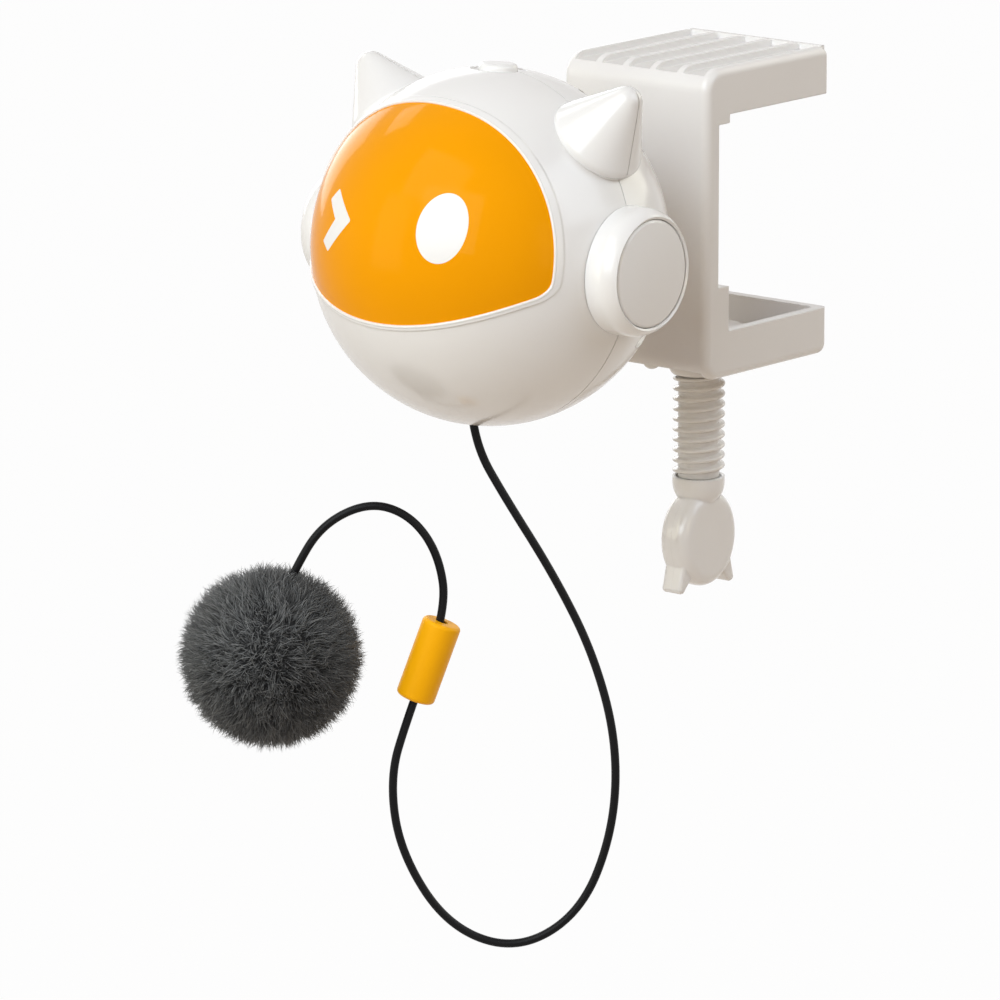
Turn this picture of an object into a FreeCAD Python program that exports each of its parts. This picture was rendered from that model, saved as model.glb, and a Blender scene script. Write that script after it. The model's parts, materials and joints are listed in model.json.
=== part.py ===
import FreeCAD, Part
import math
import os
import re
from FreeCAD import Placement, Rotation, Vector

# Hanging ball cat toy: a ball head with ears that lowers a pom-pom on a cord, on a table clamp.
# Millimetres, +Z up. The face looks along -Y and the clamp's jaws open towards +Y.
# The origin is on the upper jaw's face, where the clamp screw's axis meets it.
# The head's own pieces are drawn about the ball's centre and then placed by the head's lean.

SIZES = (
    # The ball head
    ("head_radius", 40.0, "outer radius of the ball"),
    ("shell_wall", 2.0, "wall of the moulded shells"),
    ("head_lean", 3.3, "degrees that the head leans back"),
    ("head_drop", 24.0, "ball centre below the upper jaw face"),
    ("neck_gap", 11.2, "ball to clamp at the closest"),
    ("seam_offset", 0.5, "parting plane behind the ball centre"),
    ("seam_gap", 0.2, "open line between the two shells"),
    ("lip_depth", 1.5, "tongue of the rear shell under the front shell"),
    ("lip_wall", 0.8, "thickness of that tongue"),
    ("fit_gap", 0.1, "clearance of parts that are put together"),
    # The ears
    ("ear_tilt", 40.0, "degrees between an ear's axis and the vertical"),
    ("ear_tip_stand", 15.0, "ear tip beyond the ball's surface"),
    ("ear_tip_reach", "=head_radius + ear_tip_stand", "ball centre to ear tip"),
    ("ear_tip_angle", 45.0, "degrees of the ear tip from the vertical"),
    ("ear_length", 17.2, "ear axis from its root to its tip"),
    ("ear_base_radius", 11.0, "widest radius of the ear"),
    ("ear_tip_radius", 3.5, "rounding of the ear's tip"),
    ("ear_root_round", 2.2, "rounding where the ear turns in to the ball"),
    ("ear_root_rise", 1.6, "that rounding's middle above the ear's root"),
    # The visor and the eyes
    ("visor_recess", 0.1, "visor below the ball's surface"),
    ("visor_wall", 2.2, "thickness of the visor"),
    ("visor_flange", 1.4, "hidden flange behind the opening"),
    ("visor_half_width", 35.0, "half width of the opening"),
    ("visor_top", 34.0, "opening's top above the ball centre"),
    ("visor_bottom", 14.2, "opening's lowest point below the centre"),
    ("visor_top_arc", 43.5, "radius of the top arc"),
    ("visor_side_arc", 32.4, "radius of the side arcs"),
    ("visor_corner_arc", 5.3, "radius of the lower corners"),
    ("visor_bottom_arc", 67.5, "radius of the lower arc"),
    ("rim_width", 0.8, "raised rim round the opening"),
    ("rim_rise", 0.3, "height of that rim"),
    ("eye_depth", 0.8, "depth of the eye inserts"),
    ("eye_across", 15.3, "round eye from the middle"),
    ("eye_height", 8.8, "round eye above the ball centre"),
    ("eye_half_width", 5.3, "half width of the round eye"),
    ("eye_half_height", 7.6, "half height of the round eye"),
    # The headphones
    ("phone_back", 1.0, "headphone axis behind the ball centre"),
    ("phone_drop", 0.8, "headphone axis below the ball centre"),
    ("phone_radius", 14.3, "ring at its root"),
    ("phone_stand", 5.5, "ring's front edge beyond the ball's side"),
    ("phone_reach", "=head_radius + phone_stand", "ring's front edge from the middle"),
    ("phone_round", 4.2, "depth of the ring's rounded front"),
    ("phone_cap_radius", 11.9, "radius of the cap"),
    ("phone_cap_depth", 1.5, "depth of the cap's seat"),
    ("phone_cap_dome", 1.0, "crown of the cap"),
    ("phone_peg_radius", 3.5, "peg through the shells"),
    # The power button, its board and switch
    ("button_seat_drop", 0.75, "flat seat below the ball's top"),
    ("button_seat_radius", 6.2, "round seat that the button stands in"),
    ("button_seat_height", "=head_radius - button_seat_drop", "flat seat above the ball centre"),
    ("button_radius", 4.35, "radius of the button"),
    ("button_rise", 1.65, "button's top above its seat"),
    ("button_stroke", 0.7, "travel of the button"),
    ("board_height", 27.2, "circuit board above the ball centre"),
    ("board_wall", 1.2, "thickness of the circuit board"),
    ("board_width", 26.0, "circuit board across"),
    ("board_depth", 20.0, "circuit board front to back"),
    ("switch_side", 6.0, "side of the switch"),
    ("switch_height", 4.0, "height of the switch"),
    # The drive
    ("tooth_module", 0.4, "gear module"),
    ("pinion_teeth", 10, "motor pinion"),
    ("idler_large_teeth", 50, "idler's large gear"),
    ("idler_small_teeth", 16, "idler's small gear"),
    ("spool_teeth", 44, "spool gear"),
    ("spool_forward", 3.3, "spool axis behind the ball centre"),
    ("spool_drop", 7.1, "spool axis below the ball centre"),
    ("idler_direction", 73.4, "degrees from spool to idler"),
    ("motor_direction", 124.0, "degrees from idler to motor"),
    ("spool_core_radius", 3.5, "spool's core"),
    ("spool_flange_radius", 9.2, "spool's flanges"),
    ("spool_half_width", 7.0, "half width of the spool"),
    ("flange_wall", 1.2, "thickness of the flanges"),
    ("winding_radius", 5.9, "outside of the wound cord"),
    ("spool_gear_width", 3.5, "width of the spool gear"),
    ("spool_axle_radius", 1.0, "spool axle"),
    ("idler_axle_radius", 1.0, "idler axle"),
    ("running_gap", 0.05, "radial clearance of what turns"),
    ("gear_width", 3.0, "width of the motor's gears"),
    ("motor_radius", 10.0, "motor can"),
    ("motor_flat", 7.5, "motor's flats from its axis"),
    ("motor_length", 25.0, "length of the motor can"),
    ("motor_boss_radius", 3.0, "motor's front boss"),
    ("motor_boss_length", 1.5, "length of that boss"),
    ("motor_shaft_radius", 1.0, "motor shaft"),
    ("plate_wall", 2.0, "plates of the drive frame"),
    # The batteries
    ("cell_radius", 5.25, "AAA cell"),
    ("cell_length", 44.5, "AAA cell with its nub"),
    ("cell_ring", 25.0, "cells from the ball's cross axis"),
    ("cell_step", 25.6, "degrees between cells"),
    ("cell_middle", 40.0, "middle cell, degrees from straight down"),
    ("tray_sweep", 77.6, "degrees that the tray's inside covers"),
    ("tray_wall", 1.2, "walls of the battery tray"),
    ("contact_room", 2.15, "room for a contact at each end"),
    ("contact_wall", 0.4, "contact plate"),
    ("door_sweep", 71.0, "degrees that the battery door covers"),
    ("door_gap", 0.25, "open line round the battery door"),
    # The clamp
    ("clamp_width", 41.8, "clamp across"),
    ("clamp_front", 24.2, "screw axis to the clamp's front face"),
    ("clamp_back", 21.3, "screw axis to the jaws' ends"),
    ("arm_thick", 10.8, "upper arm"),
    ("web_thick", 4.4, "upright web"),
    ("jaw_gap", 49.9, "upper jaw face to the tray's rim"),
    ("lower_arm", 10.85, "tray's height"),
    ("step_reach", 3.9, "steps at the inner corners"),
    ("upper_step", 2.0, "height of the upper step"),
    ("lower_step", 10.5, "height of the lower step"),
    ("tray_side", 2.6, "side and end walls of the tray"),
    ("tray_floor", 4.35, "floor of the tray above the arm's lowest edge"),
    ("under_recess", 1.9, "recess under the tray between the clamp's sides"),
    ("corner_round", 5.3, "upper front corner"),
    ("heel_round", 5.0, "lower front corner"),
    ("edge_round", 2.0, "rounded edges of the clamp's sides"),
    ("jaw_end_round", 2.4, "rear corners of the clamp"),
    ("groove_depth", 1.5, "grooves on the upper arm"),
    ("groove_rib", 1.8, "ribs between those grooves"),
    ("groove_side", 2.3, "arm's sides beside the grooves"),
    ("groove_count", 5, "grooves on the upper arm"),
    ("groove_end", 1.1, "wall at the grooves' rear ends"),
    ("nut_radius", 7.0, "boss round the clamp screw"),
    ("nut_depth", 4.5, "that boss below the arm"),
    ("nut_round", 2.2, "rounded lower edge of that boss"),
    ("foot_radius", 2.2, "small bosses under the arm"),
    ("foot_across", 8.5, "those bosses from the middle"),
    ("foot_back", 6.8, "those bosses from the screw axis"),
    ("foot_depth", 3.2, "those bosses below the arm"),
    # The neck
    ("neck_radius", 7.5, "neck between ball and clamp"),
    ("neck_rise", 2.5, "neck axis above the ball centre"),
    ("neck_screw_pitch", 7.2, "distance between the neck's screws"),
    # The clamp screw, the pad and the knob
    ("thread_radius", 6.05, "crest of the thread"),
    ("thread_core", 4.85, "root of the thread"),
    ("thread_pitch", 2.4, "pitch of the thread"),
    ("thread_turns", 12, "turns of the thread"),
    ("thread_clearance", 0.15, "screw in its bore"),
    ("screw_exposed", 28.2, "screw between arm and collar"),
    ("collar_height", 1.5, "straight part of the knob's cup"),
    ("collar_radius", 6.05, "radius of the cup"),
    ("collar_rim", 0.65, "rim of the cup round the screw"),
    ("knob_drop", 14.4, "cup's top to the middle of the knob"),
    ("knob_thick", 8.5, "knob's thickness"),
    ("knob_half_width", 10.25, "half of the knob's width"),
    ("knob_half_height", 11.4, "half of the knob's height"),
    ("knob_round", 3.0, "rounding of the knob's rims"),
    ("knob_ear_thick", 5.6, "thickness of the knob's ears"),
    ("knob_ear_round", 0.8, "rounding of those ears"),
    ("pad_radius", 10.5, "pressure pad"),
    ("pad_thick", 2.2, "thickness of the pad"),
    ("pin_radius", 2.5, "screw's pin in the pad"),
    # The cord, the bead and the pom-pom
    ("cord_radius", 0.95, "cord"),
    ("exit_forward", 3.88, "cord exit before the ball centre"),
    ("dimple_depth", 1.5, "dimple round the cord exit"),
    ("dimple_radius", 11.6, "ball that shapes the dimple"),
    ("guide_radius", 1.9, "cord guide's outside"),
    ("guide_length", 4.0, "cord guide's length"),
    ("bead_radius", 4.45, "bead"),
    ("bead_length", 18.7, "length of the bead"),
    ("bead_bore", 1.2, "bead's bore"),
    ("pom_radius", 19.1, "core of the pom-pom"),
    ("cord_plane", 39.6, "degrees of the plane that the cord hangs in"),
)

# The cord's route in its upright plane: across and up from the exit
CORD_ROUTE = (
    (0.0, 0.0), (0.9, -6.7), (6.7, -17.3), (18.2, -36.0), (27.1, -54.2),
    (32.4, -74.7), (31.6, -95.1), (24.4, -114.2), (9.8, -123.1), (-5.8, -117.3),
    (-16.4, -100.0), (-18.7, -82.7), (-14.7, -68.9), (-5.8, -44.0), (-7.6, -31.1),
    (-13.8, -22.2), (-23.1, -19.1), (-33.8, -24.4), (-40.0, -35.1), (-43.1, -42.2),
)
# The run of that route that passes through the bead, and where the pom-pom's middle is
BEAD_RUN = 12
BEAD_SHARE = 0.54
POM_PLACE = (-45.2, -54.6)

doc = FreeCAD.newDocument("HangingBallToy")
sheet = doc.addObject("Spreadsheet::Sheet", "Sizes")
for row, (alias, value, note) in enumerate(SIZES, 1):
    sheet.set("A%d" % row, alias)
    sheet.set("B%d" % row, str(value))
    sheet.set("C%d" % row, note)
    sheet.setAlias("B%d" % row, alias)
doc.recompute()

NAMES = {alias for alias, value, note in SIZES}


def size(alias):
    return float(getattr(sheet, alias))


def formula(text):
    """An expression in which each size's name points at its cell."""
    return re.sub(r"[a-z_]+", lambda m: "Sizes." + m.group() if m.group() in NAMES else m.group(), str(text))


# Building blocks
def primitive(kind, name, place=None, **sizes):
    obj = doc.addObject("Part::" + kind, name)
    for prop, text in sizes.items():
        obj.setExpression(prop, formula(text))
    if place is not None:
        obj.Placement = place
    return obj


def at(obj, **where):
    """Bind an object's place to the sheet."""
    for letter, text in where.items():
        obj.setExpression(".Placement.Base." + letter, formula(text))
    return obj


def sphere(name, radius, **where):
    return at(primitive("Sphere", name, Radius=radius), **where)


def box(name, length, width, height, **where):
    return at(primitive("Box", name, Length=length, Width=width, Height=height), **where)


ALONG_X = Rotation(Vector(0, 1, 0), 90)
ALONG_Y = Rotation(Vector(1, 0, 0), -90)


def rod(name, radius, length, turn=Rotation(), **where):
    """A cylinder from its start, along Z or as turned."""
    return at(primitive("Cylinder", name, Placement(Vector(), turn), Radius=radius, Height=length), **where)


def cut(name, base, *tools):
    tool = tools[0] if len(tools) == 1 else fuse(name + "_tools", *tools)
    obj = doc.addObject("Part::Cut", name)
    obj.Base, obj.Tool = base, tool
    return obj


def fuse(name, *parts):
    obj = doc.addObject("Part::MultiFuse", name)
    obj.Shapes = list(parts)
    return obj


def common(name, *parts):
    obj = doc.addObject("Part::MultiCommon", name)
    obj.Shapes = list(parts)
    return obj


def feature(name, shape, place=None):
    """A shape that neither a sketch nor a primitive describes."""
    obj = doc.addObject("Part::Feature", name)
    obj.Shape = shape
    if place is not None:
        obj.Placement = place
    return obj


PIECES = {}


def piece(name, obj, in_head=False):
    """Name a finished sub-part, and lean it with the head if it belongs there."""
    if in_head and not obj.Placement.isIdentity():
        holder = doc.addObject("Part::Compound", name + "_in_place")
        holder.Links = [obj]
        obj = holder
    obj.Label = name
    if in_head:
        obj.Placement = Placement(Vector(), Rotation(Vector(1, 0, 0), 0))
        obj.setExpression(".Placement.Base.y", formula("-(clamp_front + neck_gap + head_radius)"))
        obj.setExpression(".Placement.Base.z", formula("-head_drop"))
        obj.setExpression(".Placement.Rotation.Angle", formula("-head_lean"))
    PIECES[name] = obj
    return obj


def rounded(points, radii):
    """Lines and tangent arcs round a closed outline, from its corners and their radii."""
    corners = [Vector(*p) for p in points]
    ends = []
    for i, corner in enumerate(corners):
        before, after = corners[i - 1], corners[(i + 1) % len(corners)]
        a, b = (before - corner).normalize(), (after - corner).normalize()
        half = a.getAngle(b) / 2
        back = radii[i] / math.tan(half)
        bisector = (a + b).normalize()
        middle = corner + bisector * (radii[i] / math.sin(half) - radii[i])
        ends.append((corner + a * back, middle, corner + b * back))
    edges = []
    for i, (start, middle, end) in enumerate(ends):
        if radii[i] > 0:
            edges.append(Part.Arc(start, middle, end))
        following = ends[(i + 1) % len(ends)][0]
        if (following - end).Length > 1e-6:
            edges.append(Part.LineSegment(end, following))
    return edges


def sketch(owner, name, role, edges):
    """A sketch on one of a body's own origin planes."""
    obj = owner.newObject("Sketcher::SketchObject", name)
    plane = [f for f in owner.Origin.OriginFeatures if f.Role == role][0]
    obj.AttachmentSupport = (plane, [""])
    obj.MapMode = "FlatFace"
    obj.addGeometry([e for e in edges], False)
    return obj


def body(name):
    return doc.addObject("PartDesign::Body", name)


def prism(name, edges, low, high):
    """Extrude an outline in the XZ plane from y = low to y = high."""
    wire = Part.Wire([e.toShape() for e in edges])
    shape = Part.Face(wire).extrude(Vector(0, high - low, 0))
    return feature(name, shape, Placement(Vector(0, low, 0), Rotation()))


def turned(name, edges, axis_point, axis):
    """Turn a closed outline about an axis."""
    wire = Part.Wire([e.toShape() for e in edges])
    return feature(name, Part.Face(wire).revolve(axis_point, axis, 360))


def half_space(name, front):
    """Everything before or behind the parting plane, less half of the open line."""
    reach = "3 * head_radius"
    obj = box(name, reach, reach, reach, x="-1.5 * head_radius", z="-1.5 * head_radius")
    middle = "seam_offset - seam_gap / 2 - 3 * head_radius" if front else "seam_offset + seam_gap / 2"
    return at(obj, y=middle)


# The ears
def ear_edges(inset):
    """The outline of one ear about its axis, drawn smaller by a wall for its inside."""
    tip, root = size("ear_tip_radius"), size("ear_root_round")
    tip_mid = Vector(0, 0, size("ear_length") - tip)
    root_mid = Vector(size("ear_base_radius") - root, 0, size("ear_root_rise"))
    # The angle at which one straight side touches both roundings
    apart = tip_mid - root_mid
    turn = math.asin((root - tip) / apart.Length) - math.atan2(apart.x, apart.z)
    tip, root = max(tip - inset, 0.5), max(root - inset, 0.1)

    def on(middle, radius, angle):
        return middle + Vector(math.cos(angle), 0, math.sin(angle)) * radius

    inward = -math.radians(50)
    low, high = on(root_mid, root, inward), on(root_mid, root, turn)
    tangent, top = on(tip_mid, tip, turn), on(tip_mid, tip, math.pi / 2)
    start = -size("ear_length") / 2
    return [
        Part.LineSegment(Vector(0, 0, start), Vector(low.x, 0, start)),
        Part.LineSegment(Vector(low.x, 0, start), low),
        Part.Arc(low, on(root_mid, root, (turn + inward) / 2), high),
        Part.LineSegment(high, tangent),
        Part.Arc(tangent, on(tip_mid, tip, (turn + math.pi / 2) / 2), top),
        Part.LineSegment(top, Vector(0, 0, start)),
    ]


def ear(name, side, inset=0.0):
    tip_turn = math.radians(size("ear_tip_angle"))
    lean = math.radians(size("ear_tilt"))
    tip = Vector(math.sin(tip_turn), 0, math.cos(tip_turn)) * size("ear_tip_reach")
    root = tip - Vector(math.sin(lean), 0, math.cos(lean)) * size("ear_length")
    obj = turned(name, ear_edges(inset), Vector(), Vector(0, 0, 1))
    obj.Placement = Placement(Vector(side * root.x, size("seam_offset"), root.z),
                              Rotation(Vector(0, 1, 0), side * size("ear_tilt")))
    return obj


# The visor's outline, grown or shrunk by an offset
def visor_edges(offset):
    top_arc, side_arc = size("visor_top_arc"), size("visor_side_arc")
    corner_arc, bottom_arc = size("visor_corner_arc"), size("visor_bottom_arc")
    top_mid = Vector(0, 0, size("visor_top") - top_arc)
    side_x = size("visor_half_width") - side_arc
    side_mid = Vector(side_x, 0, top_mid.z + math.sqrt((top_arc - side_arc) ** 2 - side_x ** 2))
    bottom_mid = Vector(0, 0, bottom_arc - size("visor_bottom"))
    # The corner circle touches the side circle and the lower one from inside
    a, b = side_arc - corner_arc, bottom_arc - corner_arc
    span = (bottom_mid - side_mid).Length
    along = (bottom_mid - side_mid).normalize()
    reach = (a * a - b * b + span * span) / (2 * span)
    rise = math.sqrt(a * a - reach * reach)
    corner_mid = side_mid + along * reach + Vector(along.z, 0, -along.x) * rise
    mirror = lambda v: Vector(-v.x, v.y, v.z)

    def touch(mid, radius, other):
        return mid + (other - mid).normalize() * (radius + offset)

    def arc(start, mid, radius, end):
        way = ((start - mid).normalize() + (end - mid).normalize()).normalize()
        return Part.Arc(start, mid + way * (radius + offset), end)

    high = touch(top_mid, top_arc, side_mid)
    side_low = touch(side_mid, side_arc, corner_mid)
    low = touch(bottom_mid, bottom_arc, corner_mid)
    return [
        arc(mirror(high), top_mid, top_arc, high),
        arc(high, side_mid, side_arc, side_low),
        arc(side_low, corner_mid, corner_arc, low),
        arc(low, bottom_mid, bottom_arc, mirror(low)),
        arc(mirror(low), mirror(corner_mid), corner_arc, mirror(side_low)),
        arc(mirror(side_low), mirror(side_mid), side_arc, mirror(high)),
    ]


def visor_prism(name, offset):
    return prism(name, visor_edges(offset), -1.5 * size("head_radius"), -size("head_radius") / 6)


# The two shells of the head
def head_hull():
    outer = fuse("outer_form", sphere("outer_ball", "head_radius"),
                 ear("ear_right", 1), ear("ear_left", -1))
    wall = size("shell_wall")
    inner = fuse("inner_form", sphere("inner_ball", "head_radius - shell_wall"),
                 ear("ear_right_inside", 1, wall), ear("ear_left_inside", -1, wall))
    return cut("head_wall", outer, inner)


def exit_direction():
    """Unit vector from the ball's centre to the cord's exit, in the head's own frame."""
    reach = size("head_radius") - size("dimple_depth")
    forward = size("exit_forward")
    return Vector(0, -forward, -math.sqrt(reach * reach - forward * forward)) * (1 / reach)


def exit_point():
    return exit_direction() * (size("head_radius") - size("dimple_depth"))


def dimple_ball(name, grow):
    middle = exit_direction() * (size("head_radius") - size("dimple_depth") + size("dimple_radius"))
    obj = primitive("Sphere", name, Placement(middle, Rotation()), Radius="dimple_radius + %g" % grow)
    return obj


SCREW_TURNS = (22, -22, 120, -120)


def shell_screw_spots():
    """Where the four screws stand that hold the shells together, round the parting plane."""
    ring = size("head_radius") - size("shell_wall") - 2.6
    return [Vector(ring * math.sin(math.radians(t)), 0, ring * math.cos(math.radians(t)))
            for t in SCREW_TURNS]


def posts(name, radius, low, high):
    """A cylinder along Y at each shell screw."""
    made = []
    for i, spot in enumerate(shell_screw_spots()):
        obj = primitive("Cylinder", "%s_%d" % (name, i), Placement(spot + Vector(0, low, 0), ALONG_Y))
        obj.Radius, obj.Height = radius, high - low
        made.append(obj)
    return made


POST_RADIUS = 3.2
PILOT_RADIUS = 1.35
SCREW_SHANK = 1.3
SCREW_HEAD = 2.5
HEAD_SEAT = 9.0
SHANK_END = -8.0


def front_shell(wall):
    seam_front = size("seam_offset") - size("seam_gap") / 2
    shell = common("front_half", wall, half_space("front_room", True))
    ring = cut("rim_ring", common("rim_band", sphere("rim_ball", "head_radius + rim_rise"),
                                  visor_prism("rim_outside", size("rim_width"))),
               sphere("rim_inner_ball", "head_radius - shell_wall"))
    thick = common("dimple_backing", dimple_ball("dimple_back", size("shell_wall")),
                   sphere("dimple_limit", "head_radius - shell_wall / 2"),
                   half_space("dimple_room", True))
    room = sphere("post_limit", "head_radius - shell_wall / 2")
    columns = common("front_posts", fuse("front_post_rods", *posts("front_post", POST_RADIUS, -11.0, seam_front)),
                     room)
    opened = cut("opened_half", fuse("rimmed_half", shell, ring), visor_prism("visor_opening", 0.0))
    solid = fuse("front_solid", opened, thick, columns)
    rebate = cut("rebate", sphere("rebate_ball", "head_radius - shell_wall + lip_wall + fit_gap"),
                 box("rebate_room", "3 * head_radius", "3 * head_radius", "3 * head_radius",
                     x="-1.5 * head_radius", z="-1.5 * head_radius",
                     y="seam_offset - lip_depth - fit_gap - 3 * head_radius"),
                 sphere("rebate_core", "head_radius - shell_wall - 8"))
    rebate = cut("rebate_clear", rebate, dimple_ball("rebate_dimple", size("shell_wall") + 0.15),
                 *posts("rebate_post", POST_RADIUS + 0.15, -14.0, 2.0))
    pilot = posts("front_pilot", PILOT_RADIUS, -9.5, 5.0)
    return cut("front_shell_shape", solid, rebate, dimple_ball("dimple", 0.0),
               guide_bore("guide_bore_front"), *(pilot + head_holes("front")))


def guide_bore(name):
    """The hole that the cord guide sits in, along the cord's way out."""
    return primitive("Cylinder", name, Placement(exit_point() + Vector(0, 0, -3), Rotation()),
                     Radius="guide_radius", Height="guide_length + 9")


def head_holes(side):
    """The button's seat and hole, and the holes of the headphones' pegs."""
    seat = rod(side + "_seat", "button_seat_radius", "head_radius", z="button_seat_height", y="seam_offset")
    hole = rod(side + "_button_hole", "button_radius + 0.08", "head_radius",
               z="button_seat_height / 2", y="seam_offset")
    pegs = rod(side + "_peg_hole", "phone_peg_radius + fit_gap", "4 * head_radius", ALONG_X,
               x="-2 * head_radius", y="phone_back", z="-phone_drop")
    return [seat, cut(side + "_hole_top", hole, sphere(side + "_hole_floor", "button_seat_height * 0.8")),
            cut(side + "_pegs", pegs, rod(side + "_peg_room", "phone_peg_radius * 2", "head_radius", ALONG_X,
                                          x="-head_radius / 2", y="phone_back", z="-phone_drop"))]


def pie(name, radius, half_length, start, sweep):
    """A slice about the ball's cross axis, from straight down towards the rear."""
    obj = primitive("Cylinder", name, Radius=radius, Height="2 * (%s)" % half_length, Angle=sweep)
    spread = Rotation(Vector(1, 0, 0), start).multiply(ALONG_X)
    obj.Placement = Placement(Vector(), spread)
    obj.setExpression(".Placement.Base.x", formula("-(%s)" % half_length))
    return obj


def door_start():
    return size("cell_middle") - size("door_sweep") / 2


DOOR_HALF = "cell_length / 2 + contact_room"
FRAME_SPOTS = ((-6.0, 12.0), (8.0, 12.0))
BOARD_SPOTS = ((-9.8, 8.0), (9.8, 8.0))
FRAME_BACK = 20.0
PANEL_BACK = 18.0


def rear_shell(wall):
    shell = common("rear_half", wall, half_space("rear_room", False))
    lip = cut("lip_ring", common("lip_band", sphere("lip_ball", "head_radius - shell_wall + lip_wall"),
                                 box("lip_room", "3 * head_radius", "lip_depth + 3 * seam_gap", "3 * head_radius",
                                     x="-1.5 * head_radius", z="-1.5 * head_radius",
                                     y="seam_offset - lip_depth")),
              sphere("lip_inside", "head_radius - shell_wall - 0.2"),
              dimple_ball("lip_dimple", size("shell_wall") + 0.35),
              *(ears_room() + posts("lip_post", POST_RADIUS + 0.35, -14.0, 0.7)))
    room = sphere("rear_post_limit", "head_radius - shell_wall / 2")
    rear_start = size("seam_offset") + size("seam_gap") / 2
    rods = posts("rear_post", POST_RADIUS, rear_start, 30.0)
    for i, (x, z) in enumerate(FRAME_SPOTS):
        rods.append(rod("frame_post_%d" % i, 3.0, 30, ALONG_Y, x=x, y=FRAME_BACK, z=z))
    for i, (x, y) in enumerate(BOARD_SPOTS):
        rods.append(rod("board_post_%d" % i, 2.5, 20, x=x, y=y, z="board_height + board_wall"))
    columns = common("rear_posts", fuse("rear_post_rods", *rods), room)
    solid = fuse("rear_solid", shell, lip, columns)
    tools = posts("rear_bore", PILOT_RADIUS, -1.0, 40.0) + posts("rear_counterbore", SCREW_HEAD + 0.2, HEAD_SEAT, 40.0)
    for i, (x, z) in enumerate(FRAME_SPOTS):
        tools.append(rod("frame_pilot_%d" % i, PILOT_RADIUS, 9, ALONG_Y, x=x, y=FRAME_BACK - 1, z=z))
    for i, (x, y) in enumerate(BOARD_SPOTS):
        tools.append(rod("board_pilot_%d" % i, 0.95, 5, x=x, y=y, z="board_height"))
    tools.append(pie("door_opening", "2 * head_radius", DOOR_HALF + " + door_gap",
                     door_start() - 0.35, "door_sweep + 0.7"))
    tools.append(neck_screw_rods("neck_hole", SCREW_SHANK + 0.1, 30, 50))
    tools.append(dimple_ball("rear_dimple", 0.0))
    return cut("rear_shell_shape", solid, *(tools + head_holes("rear")))


def ears_room():
    """The ears' hollow roots, which the tongue of the rear shell leaves free."""
    return [ear("lip_ear_right", 1, size("shell_wall")), ear("lip_ear_left", -1, size("shell_wall"))]


def neck_height_in_head():
    """The neck's axis on the rear of the leaning ball."""
    return size("neck_rise") + size("head_radius") * math.sin(math.radians(size("head_lean")))


def neck_screw_rods(name, radius, low, high):
    """Two cylinders across the rear of the ball, in the head's own frame."""
    rods = []
    for i, side in enumerate((-1, 1)):
        spot = Vector(side * size("neck_screw_pitch") / 2, low, neck_height_in_head())
        obj = primitive("Cylinder", "%s_%d" % (name, i), Placement(spot, ALONG_Y))
        obj.Radius, obj.Height = radius, high - low
        rods.append(obj)
    return fuse(name, *rods)


# The visor and the eyes
CHEVRON = ((-8.4, 8.0), (-15.1, 14.0), (-17.8, 11.3), (-14.2, 7.5), (-18.5, 2.1), (-16.1, 0.1))
CHEVRON_ROUND = (0.5, 0.4, 0.4, 0.2, 0.4, 0.4)


def eye_prisms(tag):
    front, back = -1.5 * size("head_radius"), -size("head_radius") / 3
    points = [(x, 0, z) for x, z in CHEVRON]
    wink = prism("wink_" + tag, rounded(points, CHEVRON_ROUND), front, back)
    oval = Part.Ellipse(Vector(0, 0, 0), size("eye_half_height"), size("eye_half_width"))
    face = Part.Face(Part.Wire([oval.toShape()]))
    face.rotate(Vector(), Vector(0, 0, 1), 90)
    face.rotate(Vector(), Vector(1, 0, 0), 90)
    face.translate(Vector(size("eye_across"), front, size("eye_height")))
    return wink, feature("oval_" + tag, face.extrude(Vector(0, back - front, 0)))


def visor_pieces():
    front = "head_radius - visor_recess"
    lens = common("lens_plug", sphere("lens_ball", front), visor_prism("lens_prism", -size("fit_gap")))
    flange = common("lens_flange", sphere("flange_ball", "head_radius - shell_wall - fit_gap"),
                    visor_prism("flange_prism", size("visor_flange")))
    inside = front + " - visor_wall"
    shape = cut("lens_shape", fuse("lens_solid", lens, flange), sphere("lens_inside", inside),
                *posts("lens_post", POST_RADIUS + 0.2, -14.0, 2.0))
    pockets = []
    for tag, name in (("left", "left_eye"), ("right", "right_eye")):
        floor = sphere(name + "_floor", front + " - eye_depth")
        pocket = cut(name + "_pocket", eye_prisms(tag)[0 if tag == "left" else 1], floor)
        pockets.append(pocket)
        insert = cut(name + "_shape", common(name + "_cap", sphere(name + "_ball", front + " + 0.03"),
                                             eye_prisms(tag + "_in")[0 if tag == "left" else 1]),
                     sphere(name + "_back", front + " - eye_depth"))
        piece(name, insert, True)
    piece("visor", cut("visor_shape", shape, *pockets), True)


# The headphones
def ring_edges():
    radius, reach = size("phone_radius"), size("phone_reach")
    seat = reach - size("phone_cap_depth")
    bore = size("phone_cap_radius") + 2 * size("fit_gap")
    root = size("head_radius") - 6
    knee = Vector(reach - size("phone_round"), 0, radius)
    edge = Vector(reach, 0, bore + 0.5)
    drop = radius - edge.z
    curve = (size("phone_round") ** 2 + drop ** 2) / (2 * drop)
    halfway = math.asin(size("phone_round") / curve) / 2
    over = knee + Vector(curve * math.sin(halfway), 0, -curve * (1 - math.cos(halfway)))
    inner = Vector(reach - 0.35, 0, bore)
    return [
        Part.LineSegment(Vector(root, 0, 0), Vector(root, 0, radius)),
        Part.LineSegment(Vector(root, 0, radius), knee),
        Part.Arc(knee, over, edge),
        Part.LineSegment(edge, inner),
        Part.LineSegment(inner, Vector(seat, 0, bore)),
        Part.LineSegment(Vector(seat, 0, bore), Vector(seat, 0, 0)),
        Part.LineSegment(Vector(seat, 0, 0), Vector(root, 0, 0)),
    ]


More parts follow.
